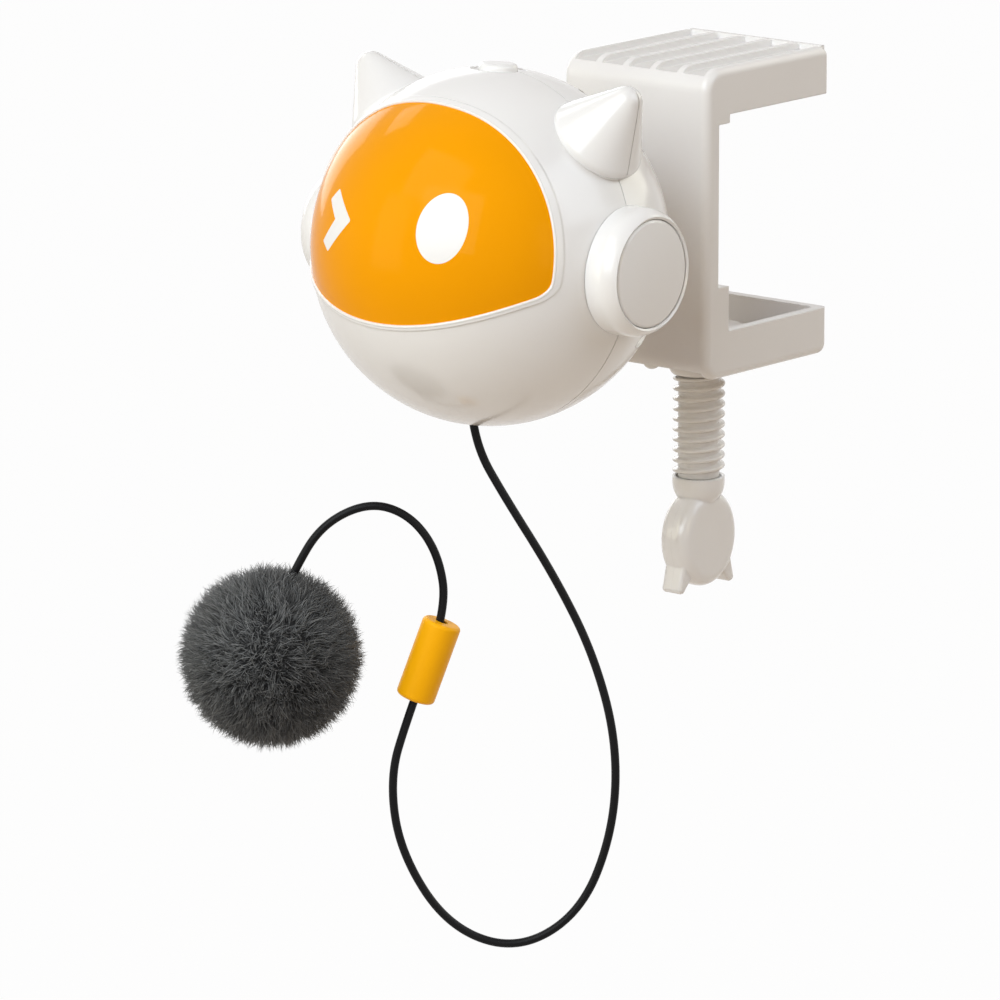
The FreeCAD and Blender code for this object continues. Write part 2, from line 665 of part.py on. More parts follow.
def cap_edges():
    radius, reach = size("phone_cap_radius"), size("phone_reach")
    seat, crown = reach - size("phone_cap_depth"), reach + size("phone_cap_dome")
    edge = Vector(reach - 0.5, 0, radius)
    turn = Vector(reach - 0.12, 0, radius - 0.5)
    rise = crown - turn.x
    ball = (turn.z ** 2 + rise ** 2) / (2 * rise)
    halfway = math.asin(turn.z / ball) / 2
    half = Vector(crown - ball * (1 - math.cos(halfway)), 0, ball * math.sin(halfway))
    return [
        Part.LineSegment(Vector(seat, 0, 0), Vector(seat, 0, radius)),
        Part.LineSegment(Vector(seat, 0, radius), edge),
        Part.LineSegment(edge, turn),
        Part.Arc(turn, half, Vector(crown, 0, 0)),
        Part.LineSegment(Vector(crown, 0, 0), Vector(seat, 0, 0)),
    ]


def headphone(side_name, side):
    turn = Rotation() if side > 0 else Rotation(Vector(0, 0, 1), 180)
    spot = Placement(Vector(0, size("phone_back"), -size("phone_drop")), turn)
    ring = turned("ring_turned_" + side_name, ring_edges(), Vector(), Vector(1, 0, 0))
    ring.Placement = spot
    peg = primitive("Cylinder", "peg_" + side_name, Radius="phone_peg_radius", Height=6)
    peg.Placement = spot.multiply(Placement(Vector(size("head_radius") - 3.6, 0, 0), ALONG_X))
    core = primitive("Cylinder", "ring_core_" + side_name, Radius="phone_radius - 0.8", Height="3 * head_radius")
    core.Placement = spot.multiply(Placement(Vector(), ALONG_X))
    line = cut("ring_line_" + side_name, sphere("ring_line_ball_" + side_name, "head_radius + 0.2"), core)
    clear = cut("ring_clear_" + side_name, ring, sphere("ring_ball_" + side_name, "head_radius"), line)
    piece("headphone_ring_" + side_name, fuse("ring_shape_" + side_name, clear, peg), True)
    cap = turned("cap_turned_" + side_name, cap_edges(), Vector(), Vector(1, 0, 0))
    cap.Placement = spot
    piece("headphone_cap_" + side_name, cap, True)


# The button, the board and the switch
def button_pieces():
    top = "button_seat_height + button_rise"
    disc = rod("button_disc", "button_radius", "button_rise + shell_wall + 0.4",
               y="seam_offset", z="button_seat_height - shell_wall - 0.4")
    rounded_disc = doc.addObject("Part::Fillet", "button_rounded")
    doc.recompute()
    rounded_disc.Base = disc
    height = size("button_seat_height") + size("button_rise")
    edges = [i + 1 for i, e in enumerate(disc.Shape.Edges) if abs(e.BoundBox.ZMin - height) < 1e-6
             and abs(e.BoundBox.ZMax - height) < 1e-6]
    rounded_disc.Edges = [(i, 0.9, 0.9) for i in edges]
    collar = rod("button_collar", "button_radius + 1", 0.8, y="seam_offset",
                 z="button_seat_height - 2.9")
    switch_top = "board_height + board_wall + switch_height"
    stem = rod("button_stem", 1.6, "button_seat_height - 2.4 - button_stroke - 0.1 - (%s)" % switch_top,
               y="seam_offset", z=switch_top + " + button_stroke + 0.1")
    piece("power_button", fuse("button_shape", rounded_disc, collar, stem), True)
    board = box("board_plate", "board_width", "board_depth", "board_wall", x="-board_width / 2",
                y="seam_offset - 8", z="board_height")
    holes = [rod("board_hole_%d" % i, 1.05, 4, x=x, y=y, z="board_height - 1")
             for i, (x, y) in enumerate(BOARD_SPOTS)]
    piece("circuit_board", cut("board_shape", board, *holes), True)
    case = box("switch_case", "switch_side", "switch_side", "switch_height - 0.6", x="-switch_side / 2",
               y="seam_offset - switch_side / 2", z="board_height + board_wall")
    plunger = rod("switch_plunger", 1.7, "switch_height / 2", y="seam_offset",
                  z="board_height + board_wall + switch_height / 2")
    piece("power_switch", fuse("switch_shape", case, plunger), True)
    chip = box("chip_case", 7, 7, 1.4, x=4.5, y=-5.5, z="board_height - 1.4")
    piece("control_chip", fuse("chip_shape", chip, box("chip_second", 4, 5, 1.4, x=-11, y=-5, z="board_height - 1.4"),
                               box("chip_bridge", 16, 1, 0.3, x=-8, y=-3.5, z="board_height - 0.3")), True)
    screws = [fuse("board_screw_%d" % i,
                   rod("board_screw_shank_%d" % i, 0.9, 4.8, x=x, y=y, z="board_height"),
                   rod("board_screw_head_%d" % i, 1.8, 1.1, x=x, y=y, z="board_height - 1.1"))
              for i, (x, y) in enumerate(BOARD_SPOTS)]
    piece("board_screws", compound("board_screw_set", screws), True)
    return top


def compound(name, objects):
    obj = doc.addObject("Part::Compound", name)
    obj.Links = list(objects)
    return obj


# The drive: motor, pinion, idler, spool and the frame that carries them
def gear_places():
    """Axes of the spool, the idler and the motor, as points in the ball's side view."""
    unit = size("tooth_module") / 2
    spool = Vector(0, size("spool_forward"), -size("spool_drop"))
    first = (size("spool_teeth") + size("idler_small_teeth")) * unit
    turn = math.radians(size("idler_direction"))
    idler = spool + Vector(0, math.cos(turn), math.sin(turn)) * first
    second = (size("pinion_teeth") + size("idler_large_teeth")) * unit
    turn = math.radians(size("motor_direction"))
    return spool, idler, idler + Vector(0, math.cos(turn), math.sin(turn)) * second


def gear(name, teeth, low, width, middle, tooth_at):
    """A spur gear along X, with a tooth in the direction given in degrees from +Y to +Z."""
    module = size("tooth_module")
    pitch_radius = teeth * module / 2
    outside, root = pitch_radius + 0.9 * module, pitch_radius - 1.15 * module
    step = 2 * math.pi / teeth
    # Half widths of a tooth at its root, its pitch circle and its tip
    flank = ((root, 0.33), (pitch_radius, 0.21), (outside, 0.10))
    points = []
    for i in range(int(teeth)):
        turn = math.radians(tooth_at) + i * step
        for radius, share in flank:
            points.append((radius, turn - share * step))
        for radius, share in reversed(flank):
            points.append((radius, turn + share * step))
    ring = [Vector(0, r * math.cos(t), r * math.sin(t)) for r, t in points]
    shape = Part.Face(Part.makePolygon(ring + ring[:1])).extrude(Vector(width, 0, 0))
    return feature(name, shape, Placement(middle + Vector(low, 0, 0), Rotation()))


GEAR_START = 11.5


def drive_pieces():
    spool, idler, motor = gear_places()
    toward_idler, toward_motor = size("idler_direction"), size("motor_direction")
    half = size("spool_half_width")
    gear_low = half
    core = rod("spool_core", "spool_core_radius", "2 * spool_half_width", ALONG_X, x="-spool_half_width")
    flange_a = rod("spool_flange_a", "spool_flange_radius", "flange_wall", ALONG_X, x="-spool_half_width")
    flange_b = rod("spool_flange_b", "spool_flange_radius", "flange_wall", ALONG_X,
                   x="spool_half_width - flange_wall")
    wheel = gear("spool_gear", size("spool_teeth"), gear_low, size("spool_gear_width"), Vector(), toward_idler)
    bore = rod("spool_bore", "spool_axle_radius + running_gap", "4 * spool_half_width", ALONG_X,
               x="-2 * spool_half_width")
    shape = cut("spool_shape", fuse("spool_solid", core, flange_a, flange_b, wheel), bore)
    moved(shape, spool, "spool")
    sleeve = cut("winding_shape", rod("winding_outside", "winding_radius", "2 * (spool_half_width - flange_wall)",
                                      ALONG_X, x="flange_wall - spool_half_width"),
                 rod("winding_inside", "spool_core_radius", "3 * spool_half_width", ALONG_X,
                     x="-1.5 * spool_half_width"))
    moved(sleeve, spool, "cord_winding")
    low, high = -12.0, GEAR_START + 5 + size("plate_wall")
    moved(rod("spool_axle_rod", "spool_axle_radius", high - low, ALONG_X, x=low), spool, "spool_axle")
    moved(rod("idler_axle_rod", "idler_axle_radius", high - low, ALONG_X, x=low), idler, "idler_axle")
    small_gap = 180 / size("idler_small_teeth")
    small = gear("idler_small", size("idler_small_teeth"), gear_low + 0.3, GEAR_START - gear_low - 0.3, Vector(),
                 toward_idler + 180 + small_gap)
    large = gear("idler_large", size("idler_large_teeth"), GEAR_START, size("gear_width"), Vector(), toward_motor)
    idler_bore = rod("idler_bore", "idler_axle_radius + running_gap", 40, ALONG_X, x=-20)
    moved(cut("idler_shape", fuse("idler_solid", small, large), idler_bore), idler, "idler_gear")
    pinion_gap = 180 / size("pinion_teeth")
    pinion = gear("pinion_teeth_form", size("pinion_teeth"), GEAR_START, size("gear_width"), Vector(),
                  toward_motor + 180 + pinion_gap)
    shaft_hole = rod("pinion_bore", "motor_shaft_radius", 40, ALONG_X, x=-10)
    moved(cut("pinion_shape", pinion, shaft_hole), motor, "motor_pinion")
    can_end = 6.0
    moved(rod("motor_shaft_rod", "motor_shaft_radius", GEAR_START + size("gear_width") - can_end + 4.5, ALONG_X,
              x=can_end - 4), motor, "motor_shaft")
    flats = box("motor_flats", "2 * motor_length", "4 * motor_radius", "2 * motor_flat", x="-motor_length",
                y="-2 * motor_radius", z="-motor_flat")
    can = common("motor_can", rod("motor_round", "motor_radius", "motor_length", ALONG_X,
                                  x="%g - motor_length" % can_end), flats)
    nose = rod("motor_nose", "motor_boss_radius", "motor_boss_length", ALONG_X, x=can_end)
    socket = rod("motor_socket", "motor_shaft_radius + running_gap", "motor_length", ALONG_X, x=can_end - 4.5)
    moved(cut("motor_shape", fuse("motor_solid", can, nose), socket), motor, "motor")
    frame_pieces(spool, idler, motor, low, high)
    return spool


def moved(obj, where, name):
    """Put a drive piece on its axis and give it its name."""
    doc.recompute()
    holder = doc.addObject("Part::Compound", name + "_on_axis")
    holder.Links = [obj]
    obj.Placement = Placement(where, Rotation()).multiply(obj.Placement)
    for letter in "xyz":
        obj.setExpression(".Placement.Base." + letter, None)
    return piece(name, holder, True)


def frame_pieces(spool, idler, motor, low, high):
    wall = size("plate_wall")
    left = box("plate_left", "plate_wall", FRAME_BACK + 11.0, 35.5, x=low, y=-11.0, z=-11.0)
    right = box("plate_right", "plate_wall", FRAME_BACK + 4.0, 27.0, x=high - wall, y=-4.0, z=-11.0)
    back = box("plate_back", high - low, FRAME_BACK - PANEL_BACK, 18.0, x=low, y=PANEL_BACK, z=-2.0)
    seat = common("motor_hole", rod("motor_hole_round", "motor_radius + running_gap", "motor_length", ALONG_X,
                                    x="-motor_length + 6"),
                  box("motor_hole_flats", "2 * motor_length", "4 * motor_radius", "2 * (motor_flat + running_gap)",
                      x="-motor_length", y="-2 * motor_radius", z="-motor_flat - running_gap"))
    seat.Placement = Placement(motor, Rotation())
    wall_turn = math.degrees((size("tray_wall") + 0.6) / (size("cell_ring") - size("cell_radius")))
    start = size("cell_middle") - size("tray_sweep") / 2 - wall_turn
    beside_tray = cut("frame_trim", pie("frame_trim_slice", "2 * head_radius", "head_radius", start,
                                        "%g" % (size("tray_sweep") + 2 * wall_turn)),
                      pie("frame_trim_core", "cell_ring - cell_radius - 0.6 - tray_wall", "2 * head_radius",
                          0, "360"))
    tools = [seat, beside_tray]
    for tag, spot, radius in (("spool", spool, "spool_axle_radius"), ("idler", idler, "idler_axle_radius")):
        hole = primitive("Cylinder", "frame_bore_" + tag, Placement(spot + Vector(low - 5, 0, 0), ALONG_X),
                         Radius=radius, Height=high - low + 10)
        tools.append(hole)
    for i, (x, z) in enumerate(FRAME_SPOTS):
        tools.append(rod("frame_clear_%d" % i, SCREW_SHANK + 0.1, 10, ALONG_Y, x=x, y=PANEL_BACK - 4, z=z))
    piece("drive_frame", cut("frame_shape", fuse("frame_solid", left, right, back), *tools), True)
    screws = [fuse("frame_screw_%d" % i,
                   rod("frame_shank_%d" % i, SCREW_SHANK, 8.5, ALONG_Y, x=x, y=PANEL_BACK, z=z),
                   rod("frame_head_%d" % i, 2.2, 1.4, ALONG_Y, x=x, y=PANEL_BACK - 1.4, z=z))
              for i, (x, z) in enumerate(FRAME_SPOTS)]
    piece("frame_screws", compound("frame_screw_set", screws), True)


# The batteries, their tray, contacts and door
def cell_spots():
    for i in (-1, 0, 1):
        turn = math.radians(size("cell_middle") + i * size("cell_step"))
        yield Vector(0, math.sin(turn), -math.cos(turn)) * size("cell_ring")


def battery_pieces():
    wall_turn = math.degrees(size("tray_wall") / size("cell_ring"))
    inner_start, inner_sweep = size("cell_middle") - size("tray_sweep") / 2, size("tray_sweep")
    band = cut("tray_band", pie("tray_slice", "head_radius", DOOR_HALF + " + tray_wall",
                                inner_start - wall_turn, "%g" % (inner_sweep + 2 * wall_turn)),
               pie("tray_core", "cell_ring - cell_radius - 0.2 - tray_wall", "head_radius", 0, "360"))
    solid = common("tray_solid", band, sphere("tray_limit", "head_radius - shell_wall - 0.5"))
    hollow = cut("tray_hollow", pie("tray_room", "2 * head_radius", DOOR_HALF, inner_start, "%g" % inner_sweep),
                 pie("tray_room_core", "cell_ring - cell_radius - 0.2", "head_radius", 0, "360"))
    piece("battery_tray", cut("tray_shape", solid, hollow, dimple_ball("tray_dimple", size("shell_wall") + 0.3)), True)
    nub = 0.9
    plates, springs = [], []
    for i, spot in enumerate(cell_spots()):
        can = rod("cell_can_%d" % i, "cell_radius", "cell_length - %g" % nub, ALONG_X, x="-cell_length / 2",
                  y=spot.y, z=spot.z)
        tip = rod("cell_nub_%d" % i, 1.9, "%g" % nub, ALONG_X, x="cell_length / 2 - %g" % nub, y=spot.y, z=spot.z)
        piece("battery_cell_%d" % (i + 1), fuse("cell_shape_%d" % i, can, tip), True)
        plate = rod("plus_plate_%d" % i, 3.2, "contact_wall", ALONG_X,
                    x=DOOR_HALF + " - contact_wall", y=spot.y, z=spot.z)
        bump = rod("plus_bump_%d" % i, 1.9, "contact_room - contact_wall", ALONG_X, x="cell_length / 2",
                   y=spot.y, z=spot.z)
        plates.append(inside_door("plus_contact_%d" % i, plate, bump))
        disc = rod("minus_plate_%d" % i, 3.2, "contact_wall", ALONG_X, x="-(%s)" % DOOR_HALF, y=spot.y, z=spot.z)
        cone = primitive("Cone", "minus_cone_%d" % i, Placement(Vector(), ALONG_X), Radius1=3.0, Radius2=2.0,
                         Height="contact_room - contact_wall")
        at(cone, x="-(%s) + contact_wall" % DOOR_HALF, y=spot.y, z=spot.z)
        springs.append(inside_door("minus_contact_%d" % i, disc, cone))
    piece("plus_contacts", compound("plus_contact_set", plates), True)
    piece("minus_springs", compound("minus_contact_set", springs), True)
    patch = common("door_patch", cut("door_wall", sphere("door_outside", "head_radius"),
                                     sphere("door_inside", "head_radius - shell_wall")),
                   pie("door_slice", "2 * head_radius", DOOR_HALF, door_start(), "door_sweep"))
    turn = math.radians(door_start() + size("door_sweep") - 5)
    notch_mid = Vector(0, math.sin(turn), -math.cos(turn)) * (size("head_radius") + 5.2)
    notch = primitive("Sphere", "door_notch", Placement(notch_mid, Rotation()), Radius=6)
    piece("battery_door", cut("door_shape", patch, notch), True)


def inside_door(name, *parts):
    """Join a contact's parts, and keep them clear of the door's inside."""
    return common(name, fuse(name + "_whole", *parts),
                  sphere(name + "_limit", "head_radius - shell_wall - 2 * fit_gap"))


# The screws and the guide of the head
def shell_screws():
    made = []
    for i, spot in enumerate(shell_screw_spots()):
        shank = primitive("Cylinder", "shell_shank_%d" % i, Placement(spot + Vector(0, SHANK_END, 0), ALONG_Y))
        shank.Radius, shank.Height = SCREW_SHANK, HEAD_SEAT - SHANK_END
        head = primitive("Cylinder", "shell_head_%d" % i, Placement(spot + Vector(0, HEAD_SEAT, 0), ALONG_Y))
        head.Radius, head.Height = SCREW_HEAD, 1.8
        slot_a, slot_b = cross_slot("shell_%d" % i, spot + Vector(0, HEAD_SEAT + 1.8, 0))
        made.append(cut("shell_screw_%d" % i, fuse("shell_screw_solid_%d" % i, shank, head), slot_a, slot_b))
    piece("shell_screws", compound("shell_screw_set", made), True)


def cross_slot(tag, spot):
    """The cross recess of a screw whose head faces the rear."""
    a = primitive("Box", "slot_a_" + tag, Length=2.6, Width=2, Height=0.6)
    a.Placement = Placement(spot + Vector(-1.3, -0.9, -0.3), Rotation())
    b = primitive("Box", "slot_b_" + tag, Length=0.6, Width=2, Height=2.6)
    b.Placement = Placement(spot + Vector(-0.3, -0.9, -1.3), Rotation())
    return a, b


def guide_piece():
    way = exit_point()
    bush = primitive("Cylinder", "guide_bush", Placement(way, Rotation()), Radius="guide_radius",
                     Height="guide_length")
    flange = primitive("Cylinder", "guide_flange", Placement(way + Vector(0, 0, 3.4), Rotation()),
                       Radius="guide_radius + 0.9", Height=0.8)
    hole = primitive("Cylinder", "guide_hole", Placement(way + Vector(0, 0, -1), Rotation()),
                     Radius="cord_radius + 0.25", Height="guide_length + 3")
    trim = dimple_ball("guide_trim", 0.0)
    piece("cord_guide", cut("guide_shape", fuse("guide_solid", bush, flange), hole, trim), True)
    top = Vector(0, way.y, -size("spool_drop"))
    low = way.z + 0.02
    line = primitive("Cylinder", "feed_rod", Placement(Vector(0, way.y, low), Rotation()), Radius="cord_radius",
                     Height=top.z - low)
    piece("cord_feed", line, True)


# The clamp
def clamp_pieces():
    front, back, top = -size("clamp_front"), size("clamp_back"), size("arm_thick")
    inner, step = front + size("web_thick"), front + size("web_thick") + size("step_reach")
    rim, low = -size("jaw_gap"), -size("jaw_gap") - size("lower_arm")
    outline = (
        ((front, top), size("corner_round")), ((back, top), size("jaw_end_round")), ((back, 0), 0),
        ((step, 0), 0.3), ((step, -size("upper_step")), 0.3), ((inner, -size("upper_step")), 0.3),
        ((inner, rim + size("lower_step")), 0.3), ((step, rim + size("lower_step")), 0.3),
        ((step, rim), 0.3), ((back, rim), 0), ((back, low), size("jaw_end_round")),
        ((front, low), size("heel_round")),
    )
    frame = body("clamp_body")
    # The YZ plane's sketch has +Y across and +Z up
    edges = rounded([(y, z, 0) for (y, z), radius in outline], [radius for point, radius in outline])
    profile = sketch(frame, "clamp_profile", "YZ_Plane", edges)
    pad = frame.newObject("PartDesign::Pad", "clamp_pad")
    pad.Profile = profile
    pad.Midplane = True
    pad.setExpression("Length", formula("clamp_width"))
    doc.recompute()
    side = size("clamp_width") / 2
    rounding = []
    for i, edge in enumerate(pad.Shape.Edges):
        bb = edge.BoundBox
        on_side = bb.XLength < 1e-6 and abs(abs(bb.XMin) - side) < 1e-6
        if on_side and (bb.YMax < front + 0.1 or bb.ZMin > top - 0.1 or bb.ZMax < low + 0.1):
            rounding.append("Edge%d" % (i + 1))
    fillet = frame.newObject("PartDesign::Fillet", "clamp_edges")
    fillet.Base = (pad, rounding)
    fillet.setExpression("Radius", formula("edge_round"))
    doc.recompute()
    # The grooves on the upper arm, one sketch repeated across
    width = size("clamp_width") - 2 * size("groove_side")
    count = int(size("groove_count"))
    pitch = (width + size("groove_rib")) / count
    across = -width / 2 + pitch / 2 - size("groove_rib") / 2
    grooves = sketch(frame, "groove_profile", "XY_Plane", rounded(
        [(across - pitch / 2 + size("groove_rib") / 2, front - 2, 0),
         (across + pitch / 2 - size("groove_rib") / 2, front - 2, 0),
         (across + pitch / 2 - size("groove_rib") / 2, back - size("groove_end"), 0),
         (across - pitch / 2 + size("groove_rib") / 2, back - size("groove_end"), 0)],
        (0, 0, 0.6, 0.6)))
    grooves.AttachmentOffset = Placement(Vector(0, 0, top - size("groove_depth")), Rotation())
    pocket = frame.newObject("PartDesign::Pocket", "groove")
    pocket.Profile = grooves
    pocket.Reversed = True
    pocket.Length = 10
    doc.recompute()
    pattern = frame.newObject("PartDesign::LinearPattern", "groove_row")
    pattern.Originals = [pocket]
    pattern.Direction = (grooves, ["H_Axis"])
    pattern.Length = pitch * (count - 1)
    pattern.Occurrences = count
    frame.Tip = pattern
    doc.recompute()
    # The tray in the lower arm
    tray = sketch(frame, "tray_profile", "XY_Plane", rounded(
        [(-side + size("tray_side"), step, 0), (side - size("tray_side"), step, 0),
         (side - size("tray_side"), back - size("tray_side"), 0),
         (-side + size("tray_side"), back - size("tray_side"), 0)], (1, 1, 1, 1)))
    tray.AttachmentOffset = Placement(Vector(0, 0, low + size("tray_floor")), Rotation())
    hollow = frame.newObject("PartDesign::Pocket", "tray_hollow_cut")
    hollow.Profile = tray
    hollow.Reversed = True
    hollow.Length = size("lower_arm") - size("tray_floor") + 0.5
    frame.Tip = hollow
    doc.recompute()
    # The boss round the screw, the two small ones and the bores
    recess = box("under_room", "clamp_width - 2 * groove_side", "clamp_front + clamp_back - 1", "under_recess + 5",
                 x="groove_side - clamp_width / 2", y="-clamp_front - 2", z=low - 5)
    lip = box("groove_lip", "clamp_width - 2 * groove_side + 1", "groove_end", "groove_depth + 0.5",
              x="groove_side - clamp_width / 2 - 0.5", y="clamp_back - groove_end", z="arm_thick - groove_depth - 0.5")
    body_shape = cut("clamp_open", fuse("clamp_lipped", frame, lip), recess)
    boss_end = low - size("nut_depth")
    boss = doc.addObject("Part::Fillet", "nut_boss")
    boss.Base = rod("nut_boss_rod", "nut_radius", "nut_depth + under_recess + 1", z=boss_end)
    doc.recompute()
    boss.Edges = [(i + 1, size("nut_round"), size("nut_round")) for i, e in enumerate(boss.Base.Shape.Edges)
                  if abs(e.BoundBox.ZMax - boss_end) < 1e-6]
    feet = []
    for i, x in enumerate((-size("foot_across"), size("foot_across"))):
        end = low - size("foot_depth") + size("foot_radius")
        feet.append(rod("foot_%d" % i, "foot_radius", low + size("under_recess") - end + 1, x=x, y="-foot_back",
                        z=end))
        feet.append(sphere("foot_end_%d" % i, "foot_radius", x=x, y="-foot_back", z=end))
    screw_bore = primitive("Cylinder", "screw_bore", Placement(Vector(0, 0, low - 10), Rotation()),
                           Radius="thread_radius + thread_clearance", Height=22)
    neck_holes = []
    middle = size("neck_rise") - size("head_drop")
    for i, z in enumerate(web_screw_heights(middle)):
        neck_holes.append(rod("web_hole_%d" % i, SCREW_SHANK + 0.1, 20, ALONG_Y, y=front - 5, z=z))
        neck_holes.append(rod("web_sink_%d" % i, SCREW_HEAD + 0.2, 5, ALONG_Y, y=inner - 2, z=z))
    piece("clamp_frame", cut("clamp_shape", fuse("clamp_solid", body_shape, boss, *feet), screw_bore, *neck_holes))
    neck_pieces(front, inner, middle)
    return low


def neck_pieces(front, inner, middle):
    column = rod("neck_column", "neck_radius", "neck_gap + neck_radius", ALONG_Y,
                 y="-clamp_front - neck_gap - neck_radius", z="neck_rise - head_drop")
    hollow = sphere("neck_ball", "head_radius", y="-(clamp_front + neck_gap + head_radius)", z="-head_drop")
    holes = [rod("neck_bore_%d" % i, PILOT_RADIUS, 7.5, ALONG_Y, y=front - 7.5, z=z)
             for i, z in enumerate(web_screw_heights(middle))]
    inner_rods = neck_screw_rods("neck_inner_bore", PILOT_RADIUS, 30, size("head_radius") + 6.5)
    inner_rods.Placement = head_place()
    piece("neck", cut("neck_shape", column, hollow, inner_rods, *holes))
    outer = []
    for i, z in enumerate(web_screw_heights(middle)):
        shank = rod("outer_shank_%d" % i, SCREW_SHANK, 9.3, ALONG_Y, y=inner - 2 - 9.3, z=z)
        head = rod("outer_head_%d" % i, SCREW_HEAD, 1.8, ALONG_Y, y=inner - 2, z=z)
        slots = cross_slot("outer_%d" % i, Vector(0, inner - 0.2, z))
        outer.append(cut("outer_screw_%d" % i, fuse("outer_solid_%d" % i, shank, head), *slots))
    piece("clamp_side_screws", compound("outer_screw_set", outer))
    inside = []
    height = neck_height_in_head()
    across = size("neck_screw_pitch") / 2
    start = math.sqrt((size("head_radius") - size("shell_wall")) ** 2 - (height + SCREW_HEAD) ** 2
                      - (across + SCREW_HEAD) ** 2)
    for i, side in enumerate((-1, 1)):
        spot = Vector(side * across, 0, height)
        shank = primitive("Cylinder", "inside_shank_%d" % i, Placement(spot + Vector(0, start, 0), ALONG_Y))
        shank.Radius, shank.Height = SCREW_SHANK, 8.0
        head = primitive("Cylinder", "inside_head_%d" % i, Placement(spot + Vector(0, start - 1.8, 0), ALONG_Y))
        head.Radius, head.Height = SCREW_HEAD, 1.8
        inside.append(fuse("inside_screw_%d" % i, shank, head))
    piece("head_side_screws", compound("inside_screw_set", inside), True)


def web_screw_heights(middle):
    return (middle - size("neck_screw_pitch") / 2, middle + size("neck_screw_pitch") / 2)


def head_place():
    spot = Vector(0, -(size("clamp_front") + size("neck_gap") + size("head_radius")), -size("head_drop"))
    return Placement(spot, Rotation(Vector(1, 0, 0), -size("head_lean")))


# The clamp screw with its thread, the knob and the pad
THREAD_START = 130


def screw_pieces(low):
    collar_top = low - size("screw_exposed")
    floor = low + size("tray_floor")
    pad_low = floor + 0.3
    pad_top = pad_low + size("pad_thick")
    pitch, turns = size("thread_pitch"), size("thread_turns")
    core = size("thread_core")
    thread_top = pad_low - 0.4
    shank = rod("screw_core", "thread_core", thread_top - collar_top, z=collar_top)
    crest = size("thread_radius")
    half, tip = pitch * 0.31, pitch * 0.19
    shoulder = crest - tip
    outline = Part.Wire([
        Part.makeLine(Vector(core, 0, -half), Vector(shoulder, 0, -tip)),
        Part.Arc(Vector(shoulder, 0, -tip), Vector(crest, 0, 0), Vector(shoulder, 0, tip)).toShape(),
        Part.makeLine(Vector(shoulder, 0, tip), Vector(core, 0, half)),
        Part.makeLine(Vector(core, 0, half), Vector(core - 0.4, 0, half)),
        Part.makeLine(Vector(core - 0.4, 0, half), Vector(core - 0.4, 0, -half)),
        Part.makeLine(Vector(core - 0.4, 0, -half), Vector(core, 0, -half)),
    ])
    helix = Part.Wire(Part.makeHelix(pitch, pitch * turns, core))
    ridge = helix.makePipeShell([outline], True, True)
    thread = feature("screw_thread", ridge, Placement(Vector(0, 0, collar_top + half + 0.05),
                                                      Rotation(Vector(0, 0, 1), THREAD_START)))
    pin = rod("screw_pin", "pin_radius", pad_top - 0.6 - thread_top, z=thread_top)
    tang = box("screw_tang", 6, 4, 8, x=-3, y=-2, z=collar_top - 8)
    piece("clamp_screw", fuse("screw_shape", shank, thread, pin, tang))
    disc = rod("pad_disc", "pad_radius", "pad_thick", z=pad_low)
    bore = rod("pad_bore", "pin_radius + running_gap", pad_top - 0.6 + 0.05 - pad_low + 1, z=pad_low - 1)
    piece("pressure_pad", cut("pad_shape", disc, bore))
    knob_piece(collar_top)
    return pad_top, collar_top


# One of the knob's ears, seen along X: across, and down from the cup's top
KNOB_EAR = ((8.4, -18.2), (10.4, -26.1), (8.6, -26.4), (4.8, -22.4))
KNOB_EAR_CORNERS = (0.85, 1.0, 0.85, 0.85)


def knob_piece(collar_top):
    """The knob is a cat's head upside down, held in a cup."""
    middle = collar_top - size("knob_drop")
    knob = body("knob_body")
    outline = Part.Ellipse(Vector(0, middle, 0), size("knob_half_height"), size("knob_half_width"))
    outline.rotate(Placement(Vector(0, middle, 0), Rotation(Vector(0, 0, 1), 90)))
    profile = sketch(knob, "knob_profile", "YZ_Plane", [outline])
    pad = knob.newObject("PartDesign::Pad", "knob_pad")
    pad.Profile = profile
    pad.Midplane = True
    pad.setExpression("Length", formula("knob_thick"))
    doc.recompute()
    rims = ["Edge%d" % (i + 1) for i, e in enumerate(pad.Shape.Edges) if e.BoundBox.XLength < 1e-6]
    fillet = knob.newObject("PartDesign::Fillet", "knob_rims")
    fillet.Base = (pad, rims)
    fillet.setExpression("Radius", formula("knob_round"))
    knob.Tip = fillet
    doc.recompute()
    cup_end = collar_top - size("collar_height")
    cup = rod("knob_cup", "collar_radius", "collar_height", z=cup_end)
    bowl = common("knob_bowl", sphere("knob_bowl_ball", "collar_radius", z=cup_end),
                  box("knob_bowl_room", 20, 20, 10, x=-10, y=-10, z=cup_end - 10))
    recess = rod("knob_recess", "collar_radius - collar_rim", 0.8, z=collar_top - 0.8)
    socket = box("knob_socket", 6, 4, 8.0, x=-3, y=-2, z=collar_top - 8.0)
    ears = [knob_ear("knob_ear_%d" % i, side, collar_top) for i, side in enumerate((-1, 1))]
    piece("screw_knob", cut("knob_shape", fuse("knob_solid", knob, cup, bowl, *ears), recess, socket))


def knob_ear(name, side, collar_top):
    half = size("knob_ear_thick") / 2
    corners = [(-half, side * y, collar_top + z) for y, z in KNOB_EAR]
    edges = rounded(corners, KNOB_EAR_CORNERS)
    solid = Part.Face(Part.Wire([e.toShape() for e in edges])).extrude(Vector(2 * half, 0, 0))
    rims = [e for e in solid.Edges if e.BoundBox.XLength < 1e-6]
    return feature(name, solid.makeFillet(size("knob_ear_round"), rims))


# The cord, the bead and the pom-pom
def cord_point(across, up):
    turn = math.radians(size("cord_plane"))
    start = head_place().multVec(exit_point())
    return start + Vector(across * math.cos(turn), across * math.sin(turn), up)


